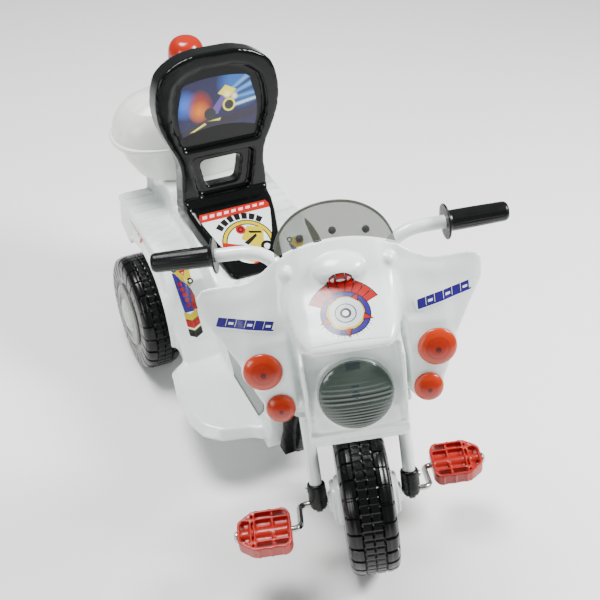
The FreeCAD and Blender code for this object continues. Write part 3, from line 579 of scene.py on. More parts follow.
def pedals():
    """An open red frame round a barrel, with ribs across it and teeth along its edges."""
    outer = rounded([(-38.5, -21, 12), (-33, -33, 10), (17, -33, 14), (38.5, -17, 12), (38.5, 17, 12),
                     (17, 33, 14), (-33, 33, 10), (-38.5, 21, 12)], 12, 6)
    inner = rounded([(-34.5, -20, 9), (-30, -29, 8), (15.5, -29, 11), (34.5, -14.5, 9), (34.5, 14.5, 9),
                     (15.5, 29, 11), (-30, 29, 8), (-34.5, 20, 9)], 9, 6)
    for side, sign in SIDES.items():
        joint = spot(f"pedal_{side}_spin")
        place = axes_at(ACROSS * sign, (WHEEL.to_3x3() @ Vector((0, sign, 0))),
                        WHEEL.to_3x3() @ Vector((0, 0, 1)), joint)
        block = prism("pedal_block", outer, -10.6, 10.6, "Z", place)
        opening = prism("pedal_opening", inner, -12, 12, "Z", place)
        parts = [without(block, [opening]), tube("barrel", [(-38, 0, 0), (38, 0, 0)], 8.2, place)]
        bars_across = [(-35, 28, y - 1.6, y + 1.6, 10) for y in (-19, 19)]
        bars_across += [(-35, 30, y - 7, y + 7, 2.2) for y in (-14, 14)]
        bars_across += [(-14, 15, y - 4, y + 4, 2.2) for y in (-28, 28)]
        ribs = ((-12, 8), (14, 10.4), (19.5, 10.4))
        bars_across += [(x - 1.3, x + 1.3, -29.5, 29.5, tall) for x, tall in ribs]
        for left, right, low, high, tall in bars_across:
            corners = [(left, low), (right, low), (right, high), (left, high)]
            parts.append(prism("bar", corners, -tall, tall, "Z", place))
        for y in (-1, 1):
            for x in (-26, -8, 10):
                parts.append(prism("tooth", [(x - 2.2, y * 31), (x + 2.2, y * 31), (x + 1.4, y * 34.6),
                                             (x - 1.4, y * 34.6)], -9.5, 9.5, "Z", place))
        bore = tube("bore", [(-45, 0, 0), (45, 0, 0)], 4.75, place)
        pedal = moulded(f"pedal_frame_{side}", parts, 1.3, 2)
        finish(without(pedal, [bore]), PEDAL, f"{side}_pedal", f"pedal_{side}", sharp=55)


def rear_wheels():
    """Two tyres, their hubs, and a grey-ringed cover on the outside of each."""
    cover_paint = Paint("hub_cover", (0.40, 0.47, 0.40), 0.28, Coat_Weight=0.1)
    cover_paint.hoop(0, 0, 31, 70, (0.075, 0.075, 0.062))
    cover_paint.hoop(0, 0, 37, 39, (0.20, 0.20, 0.17))
    cover_paint.hoop(0, 0, 50, 53.5, (0.17, 0.17, 0.15))
    cover_paint.bump(500, 0.05)
    material = cover_paint.done()
    for side, sign in SIDES.items():
        centre = spot(f"rear_{side}_spin")
        out = Matrix.Translation(centre) @ spin("Y", 90 * sign)
        body = f"{side}_rear_wheel"
        finish(treaded(f"rear_tread_{side}", 104, 33, 50.2, out, 24, True), TREAD, body, f"rear_tyre_{side}",
               sharp=50)
        dish = lathe(f"wheel_cover_{side}",
                     rounded([(0.01, 38.6, 0), (24, 38.6), (28, 37), (31, 34), (38, 34), (41, 36), (50, 36),
                              (54, 35.2), (57, 33.2), (57, 31.7, 0), (50, 32.6, 0), (38, 32.5), (31, 30),
                              (20, 30), (0.01, 30, 0)], 1.6, 4), out, 128)
        radius_coordinates(dish, out)
        finish(dish, material, body, f"rear_hub_cover_{side}")
        hub = lathe(f"rear_hub_body_{side}",
                    rounded([(5.1, -36, 0), (14, -36), (14, -31), (50, -28.6), (50, -23), (15, -23),
                             (15, 19), (50, 19), (50, 29), (46, 29), (46, 24), (5.1, 24, 0)], 1.2, 3), out,
                             80)
        finish(hub, HUB, body, f"rear_hub_{side}")


def coordinates(piece, values):
    """Store paint coordinates, in millimetres, on each point of a mesh."""
    layer = piece.data.attributes.get("paint") or piece.data.attributes.new("paint", "FLOAT_VECTOR", "POINT")
    layer.data.foreach_set("vector", np.asarray(values, np.float32).reshape(-1))
    return piece


def radius_coordinates(piece, place):
    """Paint coordinates that are the X and Y of a local frame."""
    inverse = np.array(place.inverted())
    points = np.array([v.co for v in piece.data.vertices]) / MM
    local = points @ inverse[:3, :3].T + inverse[:3, 3]
    return coordinates(piece, local)


# ---- fork and fairing ------------------------------------------------------------------


def bars():
    """On each side a tube that is fork leg and handlebar in one, its grip and its fork end."""
    for side, sign in SIDES.items():
        leg = FORK @ shift(sign * LEG, 0, 0) @ spin("Z", 0 if sign > 0 else 180) @ spin("Z", sign * 6)
        route = bent([(0, 14), (0, 395), (174, 395)], 58, 16)
        pole = tube(f"bar_{side}", [(x, 0, z) for x, z in route], 9.5, leg, 36)
        finish(pole, ENAMEL, "fork", f"handlebar_tube_{side}")

        def flutes(angle, r, z):
            groove = 0.55 * max(0.0, math.cos(18 * angle)) if 9 < z < 82 and r > 12 else 0
            return r - groove, z
        grip = lathe(f"grip_sleeve_{side}",
                     rounded([(9.6, 0, 0), (24.6, 0), (25, 1.6), (24, 3), (16.4, 3.8, 2), (14.6, 8, 3),
                              (14.4, 40), (13.6, 84, 4), (11.4, 88.4, 3), (5, 88.6), (4, 88.0),
                              (0.01, 88.0, 0), (0.01, 86, 0), (9.6, 86, 0)], 1.0, 4),
                              leg @ shift(88, 0, 395) @ spin("Y", 90), 144, flutes)
        finish(grip, BLACK_SATIN, "fork", f"grip_{side}")
        end = FORK @ shift(sign * LEG, 0, 0)
        collar = lathe("collar", rounded([
            (0.01, 33.6, 0), (12.6, 33.6), (13.6, 31), (14, 4), (12.6, -5.6), (0.01, -5.6, 0),
        ], 2, 3), end, 48)
        foot = prism("foot",
                     rounded([(-13, 2, 0), (-11, -8, 5), (-4, -14, 4), (4, -14, 4), (11, -8, 5), (13, 2, 0)],
                             3, 4), -4.4, 4.4, "X", end)
        boss = tube("boss", [(-9, 0, 0), (9, 0, 0)], 10.5, end)
        bore = tube("bore", [(-30, 0, 0), (30, 0, 0)], 4.9, end)
        socket = tube("socket", [(0, 0, 14), (0, 0, 40)], 9.6, end)
        solid = without(moulded(f"fork_foot_{side}", [collar, foot, boss], 1.2, 3), [bore, socket])
        finish(solid, BLACK_SATIN, "fork", f"fork_end_{side}", sharp=55)


FAIRING = {
    0: [(68, 541), (50, 526), (27, 505), (-17, 489), (-60, 470), (-52, 458), (-26, 434), (-56, 330),
        (-40, 288)],
    46: [(67, 536), (48, 521), (27, 502), (-15, 486), (-56, 467), (-49, 456), (-26, 434), (-56, 330),
         (-40, 288)],
    59: [(66, 530), (48, 515), (28, 498), (-5, 484), (-36, 470), (-36, 458), (-24, 434), (-51, 330),
         (-36, 290)],
    66: [(65, 527), (49, 512), (32, 497), (10, 484), (-12, 470), (-13, 457), (-9, 434), (-22, 330),
         (-12, 296)],
    71: [(64, 525), (52, 511), (40, 497), (26, 485), (16, 470), (15, 456), (13, 434), (8, 345), (10, 322)],
    78: [(63, 523), (54, 509), (43, 496), (33, 482), (20, 462), (14, 446), (7, 437), (-17, 336), (-10, 326)],
    98: [(58, 510), (53, 503), (45, 494), (35, 479), (21, 460), (13, 444), (7, 435), (-20, 324), (-12, 317)],
    122: [(52, 503), (49, 498), (42, 490), (33, 475), (21, 458), (13, 444), (6, 432), (-11, 356), (-3, 350)],
    140: [(52, 503), (49, 498), (43, 489), (35, 474), (27, 459), (20, 446), (13, 431), (6, 404), (13, 398)],
    158: [(52, 503), (50, 498), (45, 489), (39, 476), (33, 463), (28, 452), (24, 442), (22, 434), (26, 430)],
    174: [(52, 500), (51, 496), (48, 489), (45, 481), (42, 474), (40, 467), (38, 461), (37, 457), (40, 453)],
    183: [(51, 488), (51, 486), (50, 483), (49, 480), (48, 477), (47, 474), (46, 471), (46, 468), (47, 465)],
}
LAMP = UPRIGHT @ shift(0, -41, 379) @ spin("X", 90 - LAMP_TILT)
SIGNALS = {"upper": (113, -4.5, 400, 25.5), "lower": (97.5, -20.5, 345.5, 19.5)}


def signal_place(x, y, z, sign):
    """The frame of one signal lens, with Z out of the lens."""
    return UPRIGHT @ shift(sign * x, y, z) @ spin("X", SIGNAL_TILT)


def fairing():
    """The nose: hood over a square lamp housing, two wings with lamp pods, bosses and lips."""
    halves = sorted(FAIRING)
    columns = [[(-x, y, z) for y, z in FAIRING[x]] for x in reversed(halves)]
    columns += [[(x, y, z) for y, z in FAIRING[x]] for x in halves if x]
    front = np.array(columns, float)
    dense = spline(spline(front, 4, 0), 5, 1)
    along, down = np.gradient(dense, axis=0), np.gradient(dense, axis=1)
    inwards = np.cross(along, down)
    inwards /= np.linalg.norm(inwards, axis=2)[..., None]
    back = dense + inwards * np.where(inwards[..., 1:2] < 0, -5.2, 5.2)
    wide, high = dense.shape[:2]
    points = np.concatenate([dense.reshape(-1, 3), back.reshape(-1, 3)])
    faces = quads(wide, high) + [tuple(wide * high + i for i in f[::-1]) for f in quads(wide, high)]
    rim = [(i, 0) for i in range(wide)] + [(wide - 1, j) for j in range(1, high)]
    rim += [(i, high - 1) for i in range(wide - 2, -1, -1)] + [(0, j) for j in range(high - 2, 0, -1)]
    for (i, j), (k, m) in zip(rim, rim[1:] + rim[:1]):
        a, b = i * high + j, k * high + m
        faces.append((a, b, wide * high + b, wide * high + a))
    parts = [placed("skin", points, faces, UPRIGHT)]
    parts.append(ball("boss", (0, 47, 514), (35, 27, 17), UPRIGHT, 40))
    for sign in (-1, 1):
        parts.append(ball("bump", (sign * 64, 51, 509), (9.5, 10, 10.5), UPRIGHT))
    for sign in (-1, 1):
        for x, y, z, size in SIGNALS.values():
            pod = signal_place(x, y, z, sign)
            parts.append(tube("seat", [(0, 0, -11.6), (0, 0, -2.8)], size + 2.2, pod, 40))
    parts.append(lathe("lamp_ring",
                       rounded([(43, -8, 0), (52.5, -8, 0), (52.5, 1.5), (49, 4.6), (48, 4.6), (48, 2.4, 0),
                                (43, 2.4, 0)], 1.5, 3), LAMP, 80))
    parts.append(prism("lip_upper", rounded([(-58, 322), (-46, 322), (-30, 306), (-30, 300), (-54, 303)], 2),
                       -66, 66, "X", UPRIGHT))
    parts.append(prism("lip_lower", rounded([(-50, 304), (-34, 304), (-26, 292), (-28, 288), (-47, 288)], 2),
                       -61, 61, "X", UPRIGHT))
    for sign in (-1, 1):
        parts.append(prism("cheek",
                           rounded([(-50, 440), (-20, 446), (16, 446), (16, 350), (0, 300), (-40, 300),
                                    (-54, 330)], 6), sign * 60, sign * 65.5, "X", UPRIGHT))
    cutters = [lathe("hole", [(0.01, -20), (42.6, -20), (42.6, 2.4), (47.8, 2.4), (47.8, 50), (0.01, 50)],
                     LAMP, 64)]
    shell = moulded("nose_fairing", parts, 2.0, 4)
    for sign in (-1, 1):
        for x, y, z, size in SIGNALS.values():
            pod = signal_place(x, y, z, sign)
            cutters.append(tube("seat_pocket", [(0, 0, -2.6), (0, 0, 30)], size + 0.2, pod, 40))
    without(shell, [cutters])
    return finish(shell, WHITE, "fork", "fairing", sharp=48)


def spline(net_points, factor, axis):
    """A net made finer along one axis by a smooth curve through its points."""
    points = np.moveaxis(net_points, axis, 0)
    count = len(points)
    gaps = np.linalg.norm(np.diff(points, axis=0), axis=2).mean(axis=1)
    slopes = np.zeros_like(points)
    steps = np.diff(points, axis=0) / gaps[:, None, None]
    slopes[0], slopes[-1] = steps[0], steps[-1]
    for i in range(1, count - 1):
        a, b = steps[i - 1], steps[i]
        same = (a * b) > 0
        w1, w2 = 2 * gaps[i] + gaps[i - 1], gaps[i] + 2 * gaps[i - 1]
        safe_a, safe_b = np.where(same, a, 1), np.where(same, b, 1)
        slopes[i] = np.where(same, (w1 + w2) / (w1 / safe_a + w2 / safe_b), 0)
    result = []
    for i in range(count - 1):
        for step in range(factor):
            t, h = step / factor, gaps[i]
            result.append((2 * t ** 3 - 3 * t ** 2 + 1) * points[i]
                          + (t ** 3 - 2 * t ** 2 + t) * h * slopes[i]
                          + (-2 * t ** 3 + 3 * t ** 2) * points[i + 1]
                          + (t ** 3 - t ** 2) * h * slopes[i + 1])
    result.append(points[-1])
    return np.moveaxis(np.array(result), 0, axis)


def lamps():
    """A ribbed headlight in its housing, and four domed signal lenses."""
    glass = Paint("headlight_glass", (0.058, 0.078, 0.064), 0.16, edge=1.6, Coat_Weight=0.3,
                  Coat_Roughness=0.06)
    # Thin dark lines painted across the lower half of the lens: painted shade of its ribs, on top of the ribs
    # in the mesh.
    for level in range(11):
        low = -46 + level * (3.6 + level * 0.12)
        glass.shape([(-47, low), (47, low), (47, low + 1.3), (-47, low + 1.1)], (0.009, 0.014, 0.012))
    glass.shape([(-9, 37.5), (9, 37.5), (9, 46), (-9, 46)], (0.03, 0.045, 0.045))
    glass.shape([(-5, 15.5), (4, 15.5), (4, 17.5), (-5, 17.5)], (0.02, 0.035, 0.04))
    glass.disc(-0.5, 5.5, 4.2, (0.02, 0.035, 0.04), 0.8)
    glass.bump(30, 0.4)
    count, rings = 120, 44
    columns = []
    for i in range(count):
        angle = 2 * math.pi * i / count
        column = []
        for j in range(rings + 1):
            r = 47.4 * j / rings
            x, y = r * math.cos(angle), r * math.sin(angle)
            rib = 0.55 * math.sin(y * (0.95 if y > -10 else 1.4)) if 3 < r < 44 else 0
            dome = 8 + 12.8 * math.sqrt(max(0, 1 - (r / 50) ** 2))
            column.append((x, y, dome + rib * (1 if y < 12 else 0.4)))
        rim = [(47.4, 5.4), (44, 5.4), (42, 7)]
        column += [(r * math.cos(angle), r * math.sin(angle), z - 2.8) for r, z in rim]
        columns.append(column + [(0.0, 0.0, 15.0)])
    lens = net("headlight_glass_disc", columns, LAMP, wrap_u=True, wrap_v=False)
    welded(lens, 2e-6)
    radius_coordinates(lens, LAMP)
    finish(lens, glass.done(), "fork", "headlight_lens", sharp=60)
    bezel = lathe("headlight_bezel",
                  rounded([(46.6, 4.4), (48.6, 4.4), (48.9, 8.2), (47.2, 10.4), (45.6, 10.2), (45.6, 6)],
                          0.7, 3), LAMP, 120)
    finish(bezel, STEEL, "fork")
    for level, (x, y, z, size) in SIGNALS.items():
        paint = Paint(f"signal_{level}", (0.45, 0.027, 0.0004), 0.2, edge=3, Coat_Weight=0.15,
                      Coat_Roughness=0.06)
        paint.disc(0, 0, size * 0.62, (0.36, 0.016, 0.0003))
        paint.edge = 1.6
        paint.disc(0, -2, size * 0.16, (0.09, 0.0015, 0.0004))
        paint.bump(60, 0.2)
        material = paint.done()
        for side, sign in SIDES.items():
            place = signal_place(x, y, z, sign)
            outline = [(0.01, 8.8)]
            outline += [(size * math.sin(t), 0.4 + 8.4 * math.cos(t)) for t in np.linspace(0.12, 1.5, 16)]
            outline += [(size, -1.2), (size - 0.6, -2.5), (size - 3, -2.5), (size * 0.7, 2.4),
                        (size * 0.36, 5.2), (0.01, 6)]

            def rings_of(angle, r, z, size=size):
                return r, z + (0.25 * math.sin(r * 2.1) if z > 1 and r > size * 0.25 else 0)
            lens = lathe(f"signal_dome_{level}_{side}", outline, place, 72, rings_of)
            radius_coordinates(lens, place)
            finish(lens, material, "fork", f"signal_lens_{level}_{side}", sharp=50)


def screen_point(share, rise):
    """A point of the windscreen: share runs -1 to 1 across it, rise is its height above the rim."""
    return (share * (77 - 6 * rise / 33), 74 + rise - 5 * share ** 2, 537 + rise - 15 * share ** 2)


def windscreen():
    """A tinted sheet standing on the fairing, with a darker bead along its edge."""
    columns, crest, power = [], [], 2.8
    for step in range(-30, 31):
        share = math.sin(math.radians(90 * step / 30))
        top = 46 * max(0.02, 1 - abs(share) ** power) ** (1 / power) * 0.72
        columns.append([screen_point(share, top * (1 - level / 12)) for level in range(13)])
        crest.append(columns[-1][0])
    sheet = net("screen_sheet", columns, UPRIGHT @ shift(0, 1.5, -0.5))
    applied(sheet, "SOLIDIFY", thickness=2.2 * MM, offset=0)
    finish(outward(sheet), SMOKE, "fork", "windscreen")
    rim = tube("screen_rim", [(x, y + 1.6, z - 1.6) for x, y, z in crest], 1.9, UPRIGHT, 12)
    finish(rim, SMOKE_RIM, "fork")


def graphics_on(name, target, place, corners, columns, rows, material, body, lift=0.35):
    """A thin printed film laid on a surface.

    corners maps (s, t), each from 0 to 1, to (u, v) in millimetres in the plane of the local frame;
    the film drops along the frame's -Z on to the target.
    """
    tree = BVHTree.FromObject(target, bpy.context.evaluated_depsgraph_get())
    away = (place.to_3x3() @ Vector((0, 0, 1))).normalized()
    points, flat = [], []
    for i in range(columns + 1):
        for j in range(rows + 1):
            u, v = corners(i / columns, j / rows)
            start = (place @ Vector((u, v, 60))) * MM
            hit, *_ = tree.ray_cast(start, -away)
            if hit is None:
                hit, *_ = tree.find_nearest((place @ Vector((u, v, 0))) * MM)
            points.append(hit + away * lift * MM)
            flat.append((u, v, 0))
    film = raw(name, points, quads(columns + 1, rows + 1))
    coordinates(film, flat)
    applied(film, "SOLIDIFY", thickness=0.3 * MM, offset=0)
    outward(film)
    return finish(film, material, body)


def fairing_graphics(nose):
    """A ring badge on the hood and slanted stripes on the wings."""
    badge = Paint("badge_print", PAPER, 0.25, Coat_Weight=0.1)
    for k in range(22):
        angle = math.radians(200 + k * 140 / 21)
        c, s = math.cos(angle), math.sin(angle)
        tip = 37 if k % 2 else 34
        badge.shape([(27 * c - 1.3 * s, 27 * s + 1.3 * c), (tip * c, tip * s),
                     (27 * c + 1.3 * s, 27 * s - 1.3 * c)], GREEN if k % 3 else YELLOW)
    for sign in (-1, 1):
        badge.shape([(sign * 16, 20), (sign * 31, 30), (sign * 29, 12)], YELLOW)
    badge.disc(0, 0, 31.2, INK)
    badge.disc(0, 0, 30, BLUE)
    badge.disc(0, 0, 24.4, INK)
    badge.disc(0, 0, 23.4, YELLOW)
    badge.disc(1, 1, 20.6, (0.50, 0.55, 0.55))
    badge.hoop(0, 0, 12, 13.4, (0.03, 0.035, 0.04))
    badge.disc(0, 0, 7, (0.03, 0.033, 0.045))
    badge.disc(0, 0, 4, PAPER)
    for k in range(5):
        angle = math.radians(90 + 72 * k + 36)
        c, s = math.cos(angle), math.sin(angle)
        badge.shape([(22 * c - 5.6 * s, 22 * s + 5.6 * c), (34.5 * c, 34.5 * s),
                     (22 * c + 5.6 * s, 22 * s - 5.6 * c)], INK)
        badge.shape([(22.5 * c - 3.8 * s, 22.5 * s + 3.8 * c), (32 * c, 32 * s),
                     (22.5 * c + 3.8 * s, 22.5 * s - 3.8 * c)], RED)
    for k in range(-4, 5):
        angle = math.radians(90 - k * 14.5)
        c, s = math.cos(angle), math.sin(angle)
        for wide, low, high, colour in ((5.8, 29.6, 47.4, INK), (4.8, 30.8, 46.2, RED)):
            badge.shape([(low * c - wide * 0.8 * s, low * s + wide * 0.8 * c),
                         (low * c + wide * 0.8 * s, low * s - wide * 0.8 * c),
                         (high * c + wide * s, high * s - wide * c),
                         (high * c - wide * s, high * s + wide * c)], colour)
    hood = UPRIGHT @ shift(0, -15, 487) @ spin("X", 20)
    graphics_on("hood_badge", nose, hood, lambda s, t: (-47 + 94 * s, -38 + 88 * t), 60, 60, badge.done(),
                "fork")
    stripes = Paint("wing_print", PAPER, 0.25, Coat_Weight=0.1)
    for k in range(6):
        low = -34 + 11.6 * k
        for grow, colour in ((0.9, INK), (0, BLUE)):
            stripes.shape([(low - grow, -5 - grow), (low + 9.2 + grow, -5 - grow),
                           (low + 12 + grow, 5.4 + grow), (low + 2.8 - grow, 5.4 + grow)], colour)
        stripes.shape([(low + 2.6, -1.6), (low + 8.6, -1.6), (low + 9.4, 1.4), (low + 3.4, 1.4)],
                      PAPER if k % 2 else BLUE)
    stripes.shape([(-34, -6.4), (36, -6.4), (38, -4.2), (-34, -4.2)], BLUE)
    material = stripes.done()
    for side, sign in SIDES.items():
        place = UPRIGHT @ shift(sign * 127, 26, 459) @ spin("Y", -sign * 13) @ spin("X", 62)
        graphics_on(f"wing_stripes_{side}", nose, place, lambda s, t: (-37 + 76 * s, -8.4 + 16.8 * t), 50, 14,
                    material, "fork")


# ---- body ------------------------------------------------------------------------------


BOARD = [(70, 178), (84, 176), (98, 187), (146, 200), (170, 222), (180, 255), (177, 320), (166, 380),
         (141, 398), (70, 398)]


def inset(outline, amount):
    """Each point pulled towards the middle of the foot board."""
    middle = Vector((100, 310))
    points = []
    for x, y, *_ in outline:
        away = Vector((x, y)) - middle
        if x <= 72:
            points.append((x, y + (amount if y < 250 else 0)))
        else:
            points.append(tuple(middle + away * (1 - amount / away.length)))
    return points


def shell_pieces():
    """The overlapping solids that the body shell is run together from."""
    spine = [(178, 72), (168, 118), (172, 190), (202, 231), (330, 257), (388, 256), (503, 291), (578, 291),
             (600, 313), (708, 313), (710, 120), (640, 98), (420, 98), (205, 74)]
    pieces = [prism("spine", spine, -76.5, 76.5, "X")]
    pieces.append(prism("belly", [(440, 98), (440, 234), (690, 234), (705, 215), (705, 120), (640, 98)],
                        -109, 109, "X"))
    pieces.append(ball("tank_bump", (0, 300, 247), (52, 70, 17)))
    pieces += [ball("filler", (x, 368, 257), (13, 12, 7)) for x in (-34, 34)]
    for sign in (-1, 1):
        rings = []
        for level, pull in ((95.5, 0), (99.5, 0), (101, 3.5), (108, 8), (113.2, 11)):
            rings.append([(sign * x, y, level) for x, y in rounded(inset(BOARD, pull), 14, 3)])
        pieces.append(loft("board", rings))
        fender = [(372, 112), (410, 147), (441, 185), (475, 244), (500, 258.5), (680, 260.5), (702, 252),
                  (711, 226), (711, 190), (400, 108)]
        pieces.append(prism("fender", fender, *span(sign, 70, 139.5), "X"))
        for y in range(520, 690, 24):
            pieces.append(prism("fender_rib",
                                rounded([(y, 258), (y + 5, 263.5), (y + 13, 263.5), (y + 18, 258)], 2),
                                *span(sign, 84, 134), "X"))
        arch = arc(REAR, 137, 58, 176, 4) + arc(REAR, 128, 174, 56, -4)
        pieces.append(prism("arch_lip", arch, *span(sign, 134, 149.5), "X"))
        step = [(500, 256), (560, 250), (640, 246), (700, 250), (704, 262), (500, 262)]
        pieces.append(prism("shoulder", step, *span(sign, 136, 142), "X"))
    pieces.append(prism("rear_edge", [(704, 250), (711, 250), (711, 310), (704, 312)], -84, 84, "X"))
    return pieces


def body_shell():
    """The shell with its wheel arches, hollow below, and holes for the rear axle."""
    arch_cutters = [prism("arch", arc(REAR, 129.5, step=6), *span(sign, 110.5, 170), "X") for sign in (-1, 1)]
    shell = moulded("main_shell", shell_pieces(), 2.6, 9, arch_cutters)
    apart = [prism("spine_hollow", [(186, 50), (176, 122), (181, 186), (207, 224), (331, 249), (388, 248),
                                    (503, 283), (582, 283), (604, 305), (702, 305), (702, 50)], -71, 71, "X")]
    belly = prism("belly_hollow", [(447, 50), (447, 227), (686, 227), (699, 210), (699, 50)], -103.5, 103.5,
                  "X")
    holes = []
    for sign in (-1, 1):
        tray = [(sign * x, y) for x, y in [(73, 188), (86, 189), (100, 196), (142, 210), (160, 228),
                                           (168, 257), (166, 318), (154, 370), (140, 380), (73, 380)]]
        apart.append(prism("board_hollow", tray, 80, 108.5))
        under = [(382, 60), (382, 108), (416, 140), (448, 181), (481, 238), (502, 252), (679, 254),
                 (697, 246), (704, 224), (704, 60)]
        apart.append(prism("fender_hollow", under, *span(sign, 78, 134.5), "X"))
        holes.append(tube("axle_hole", [(sign * 95, *REAR), (sign * 125, *REAR)], 9.2, BODY))
    without(shell, [apart, belly, holes])
    return finish(shell, WHITE, "frame", "body_shell", sharp=48)


def body_graphics(shell):
    """The engine panels, the chevron strips on the fenders and the marks on their sides."""
    engine = Paint("engine_print", (0.075, 0.082, 0.078), 0.2, edge=0.8, Coat_Weight=0.2)
    dark, light = (0.010, 0.011, 0.010), (0.30, 0.32, 0.31)
    for k, colour in enumerate((dark, light, dark)):
        engine.hoop(34, 4, 5 + 5 * k, 7 + 5 * k, colour)
    for k in range(6):
        engine.shape([(-60 + k * 13, -12 + 2.2 * k), (-52 + k * 13, -12 + 2.2 * k),
                      (-50 + k * 13, -9 + 2.2 * k), (-58 + k * 13, -9 + 2.2 * k)], light if k % 2 else dark)
    engine.shape([(-74, 6), (16, 12), (16, 15), (-74, 10)], light)
    engine.shape([(-74, 2), (14, 7), (14, 9), (-74, 4.6)], dark)
    engine_print = engine.done()
    edge = Paint("panel_edge", (0.012, 0.013, 0.012), 0.25).done()
    strip = Paint("fender_print", PAPER, 0.25, Coat_Weight=0.1)
    strip.shape([(-15, 66), (13, 66), (16, 58), (6, 30), (-10, 44)], YELLOW)
    strip.disc(-11, 63, 5.2, INK)
    strip.disc(-11, 63, 2.4, PAPER)
    strip.disc(7, 40, 5.2, INK)
    strip.disc(7, 40, 2.4, PAPER)
    strip.shape([(-4, 58), (8, 60), (2, 50)], RED)
    strip.shape([(-16, 58), (-11, 56), (9, 22), (9, -14), (-9, -14)], BLUE)
    strip.shape([(6, 28), (13, 12), (15, -12), (7, -12)], RED)
    for k in range(5):
        strip.shape([(-10 + k * 2.0, 38 - k * 9.5), (-4 + k * 2.0, 40 - k * 9.5), (-3 + k * 2, 34 - k * 9.5),
                     (-9 + k * 2.0, 32 - k * 9.5)], RED)
    for low, colour in ((-13, INK), (-11.6, YELLOW), (-23.4, INK), (-25, RED), (-39.4, YELLOW), (-41, INK)):
        deep = 12 if colour != INK or low == -41 else 3
        strip.shape([(-11, low), (0, low - 6), (0, low - 6 - deep), (-11, low - deep)], colour)
        strip.shape([(0, low - 6), (13, low), (13, low - deep), (0, low - 6 - deep)], colour)
    strip_print = strip.done()
    mark = Paint("side_print", PAPER, 0.25, Coat_Weight=0.1)
    for k in range(4):
        mark.shape([(-34 + k * 18, -6), (-22 + k * 18, -6), (-18 + k * 18, 6), (-30 + k * 18, 6)],
                   (0.45, 0.05, 0.04))
    mark_print = mark.done()
    for side, sign in SIDES.items():
        facing = axes_at(Vector((0, sign, 0)), Vector((0, 0, 1)), Vector((sign, 0, 0)), (0, 0, 0))
        flank = BODY @ shift(sign * 78, 305, 160) @ facing

        def outline(s, t, grow=0.0, sign=sign):
            rear = 1 - s
            y = -110 + 145 * rear
            low = np.interp(rear, (0, 0.12, 0.8, 1), (-14, -41, -41, -8)) - grow
            high = np.interp(rear, (0, 0.5, 0.8, 1), (16, 30, 28, 8)) + grow
            return (sign * (y + (2 * rear - 1) * grow), low + (high - low) * t)
        graphics_on(f"engine_panel_edge_{side}", shell, flank, lambda s, t: outline(s, t, 2.4), 60, 30, edge,
                    "frame")
        graphics_on(f"engine_panel_{side}", shell, flank, outline, 60, 30, engine_print, "frame",
                    lift=0.7)
        slope = BODY @ shift(sign * 108, 441, 186) @ spin("X", 58)
        graphics_on(f"fender_strip_{side}", shell, slope, lambda s, t: (-19 + 37 * s, -62 + 134 * t), 24, 90,
                    strip_print, "frame")
        outside = BODY @ shift(sign * 139, 600, 246) @ facing
        graphics_on(f"fender_marks_{side}", shell, outside, lambda s, t: (-38 + 76 * s, -7 + 10 * t), 40, 8,
                    mark_print, "frame")


# ---- seat ------------------------------------------------------------------------------


BACK = [(78, 0), (76, 40), (73, 75), (77, 98), (92, 130), (104, 160), (107, 190), (104, 218), (94, 244),
        (66, 262), (34, 270)]


def both_sides(half):
    """A half outline made whole."""
    return [(x, z) for x, z in half] + [(-x, z) for x, z in reversed(half)]


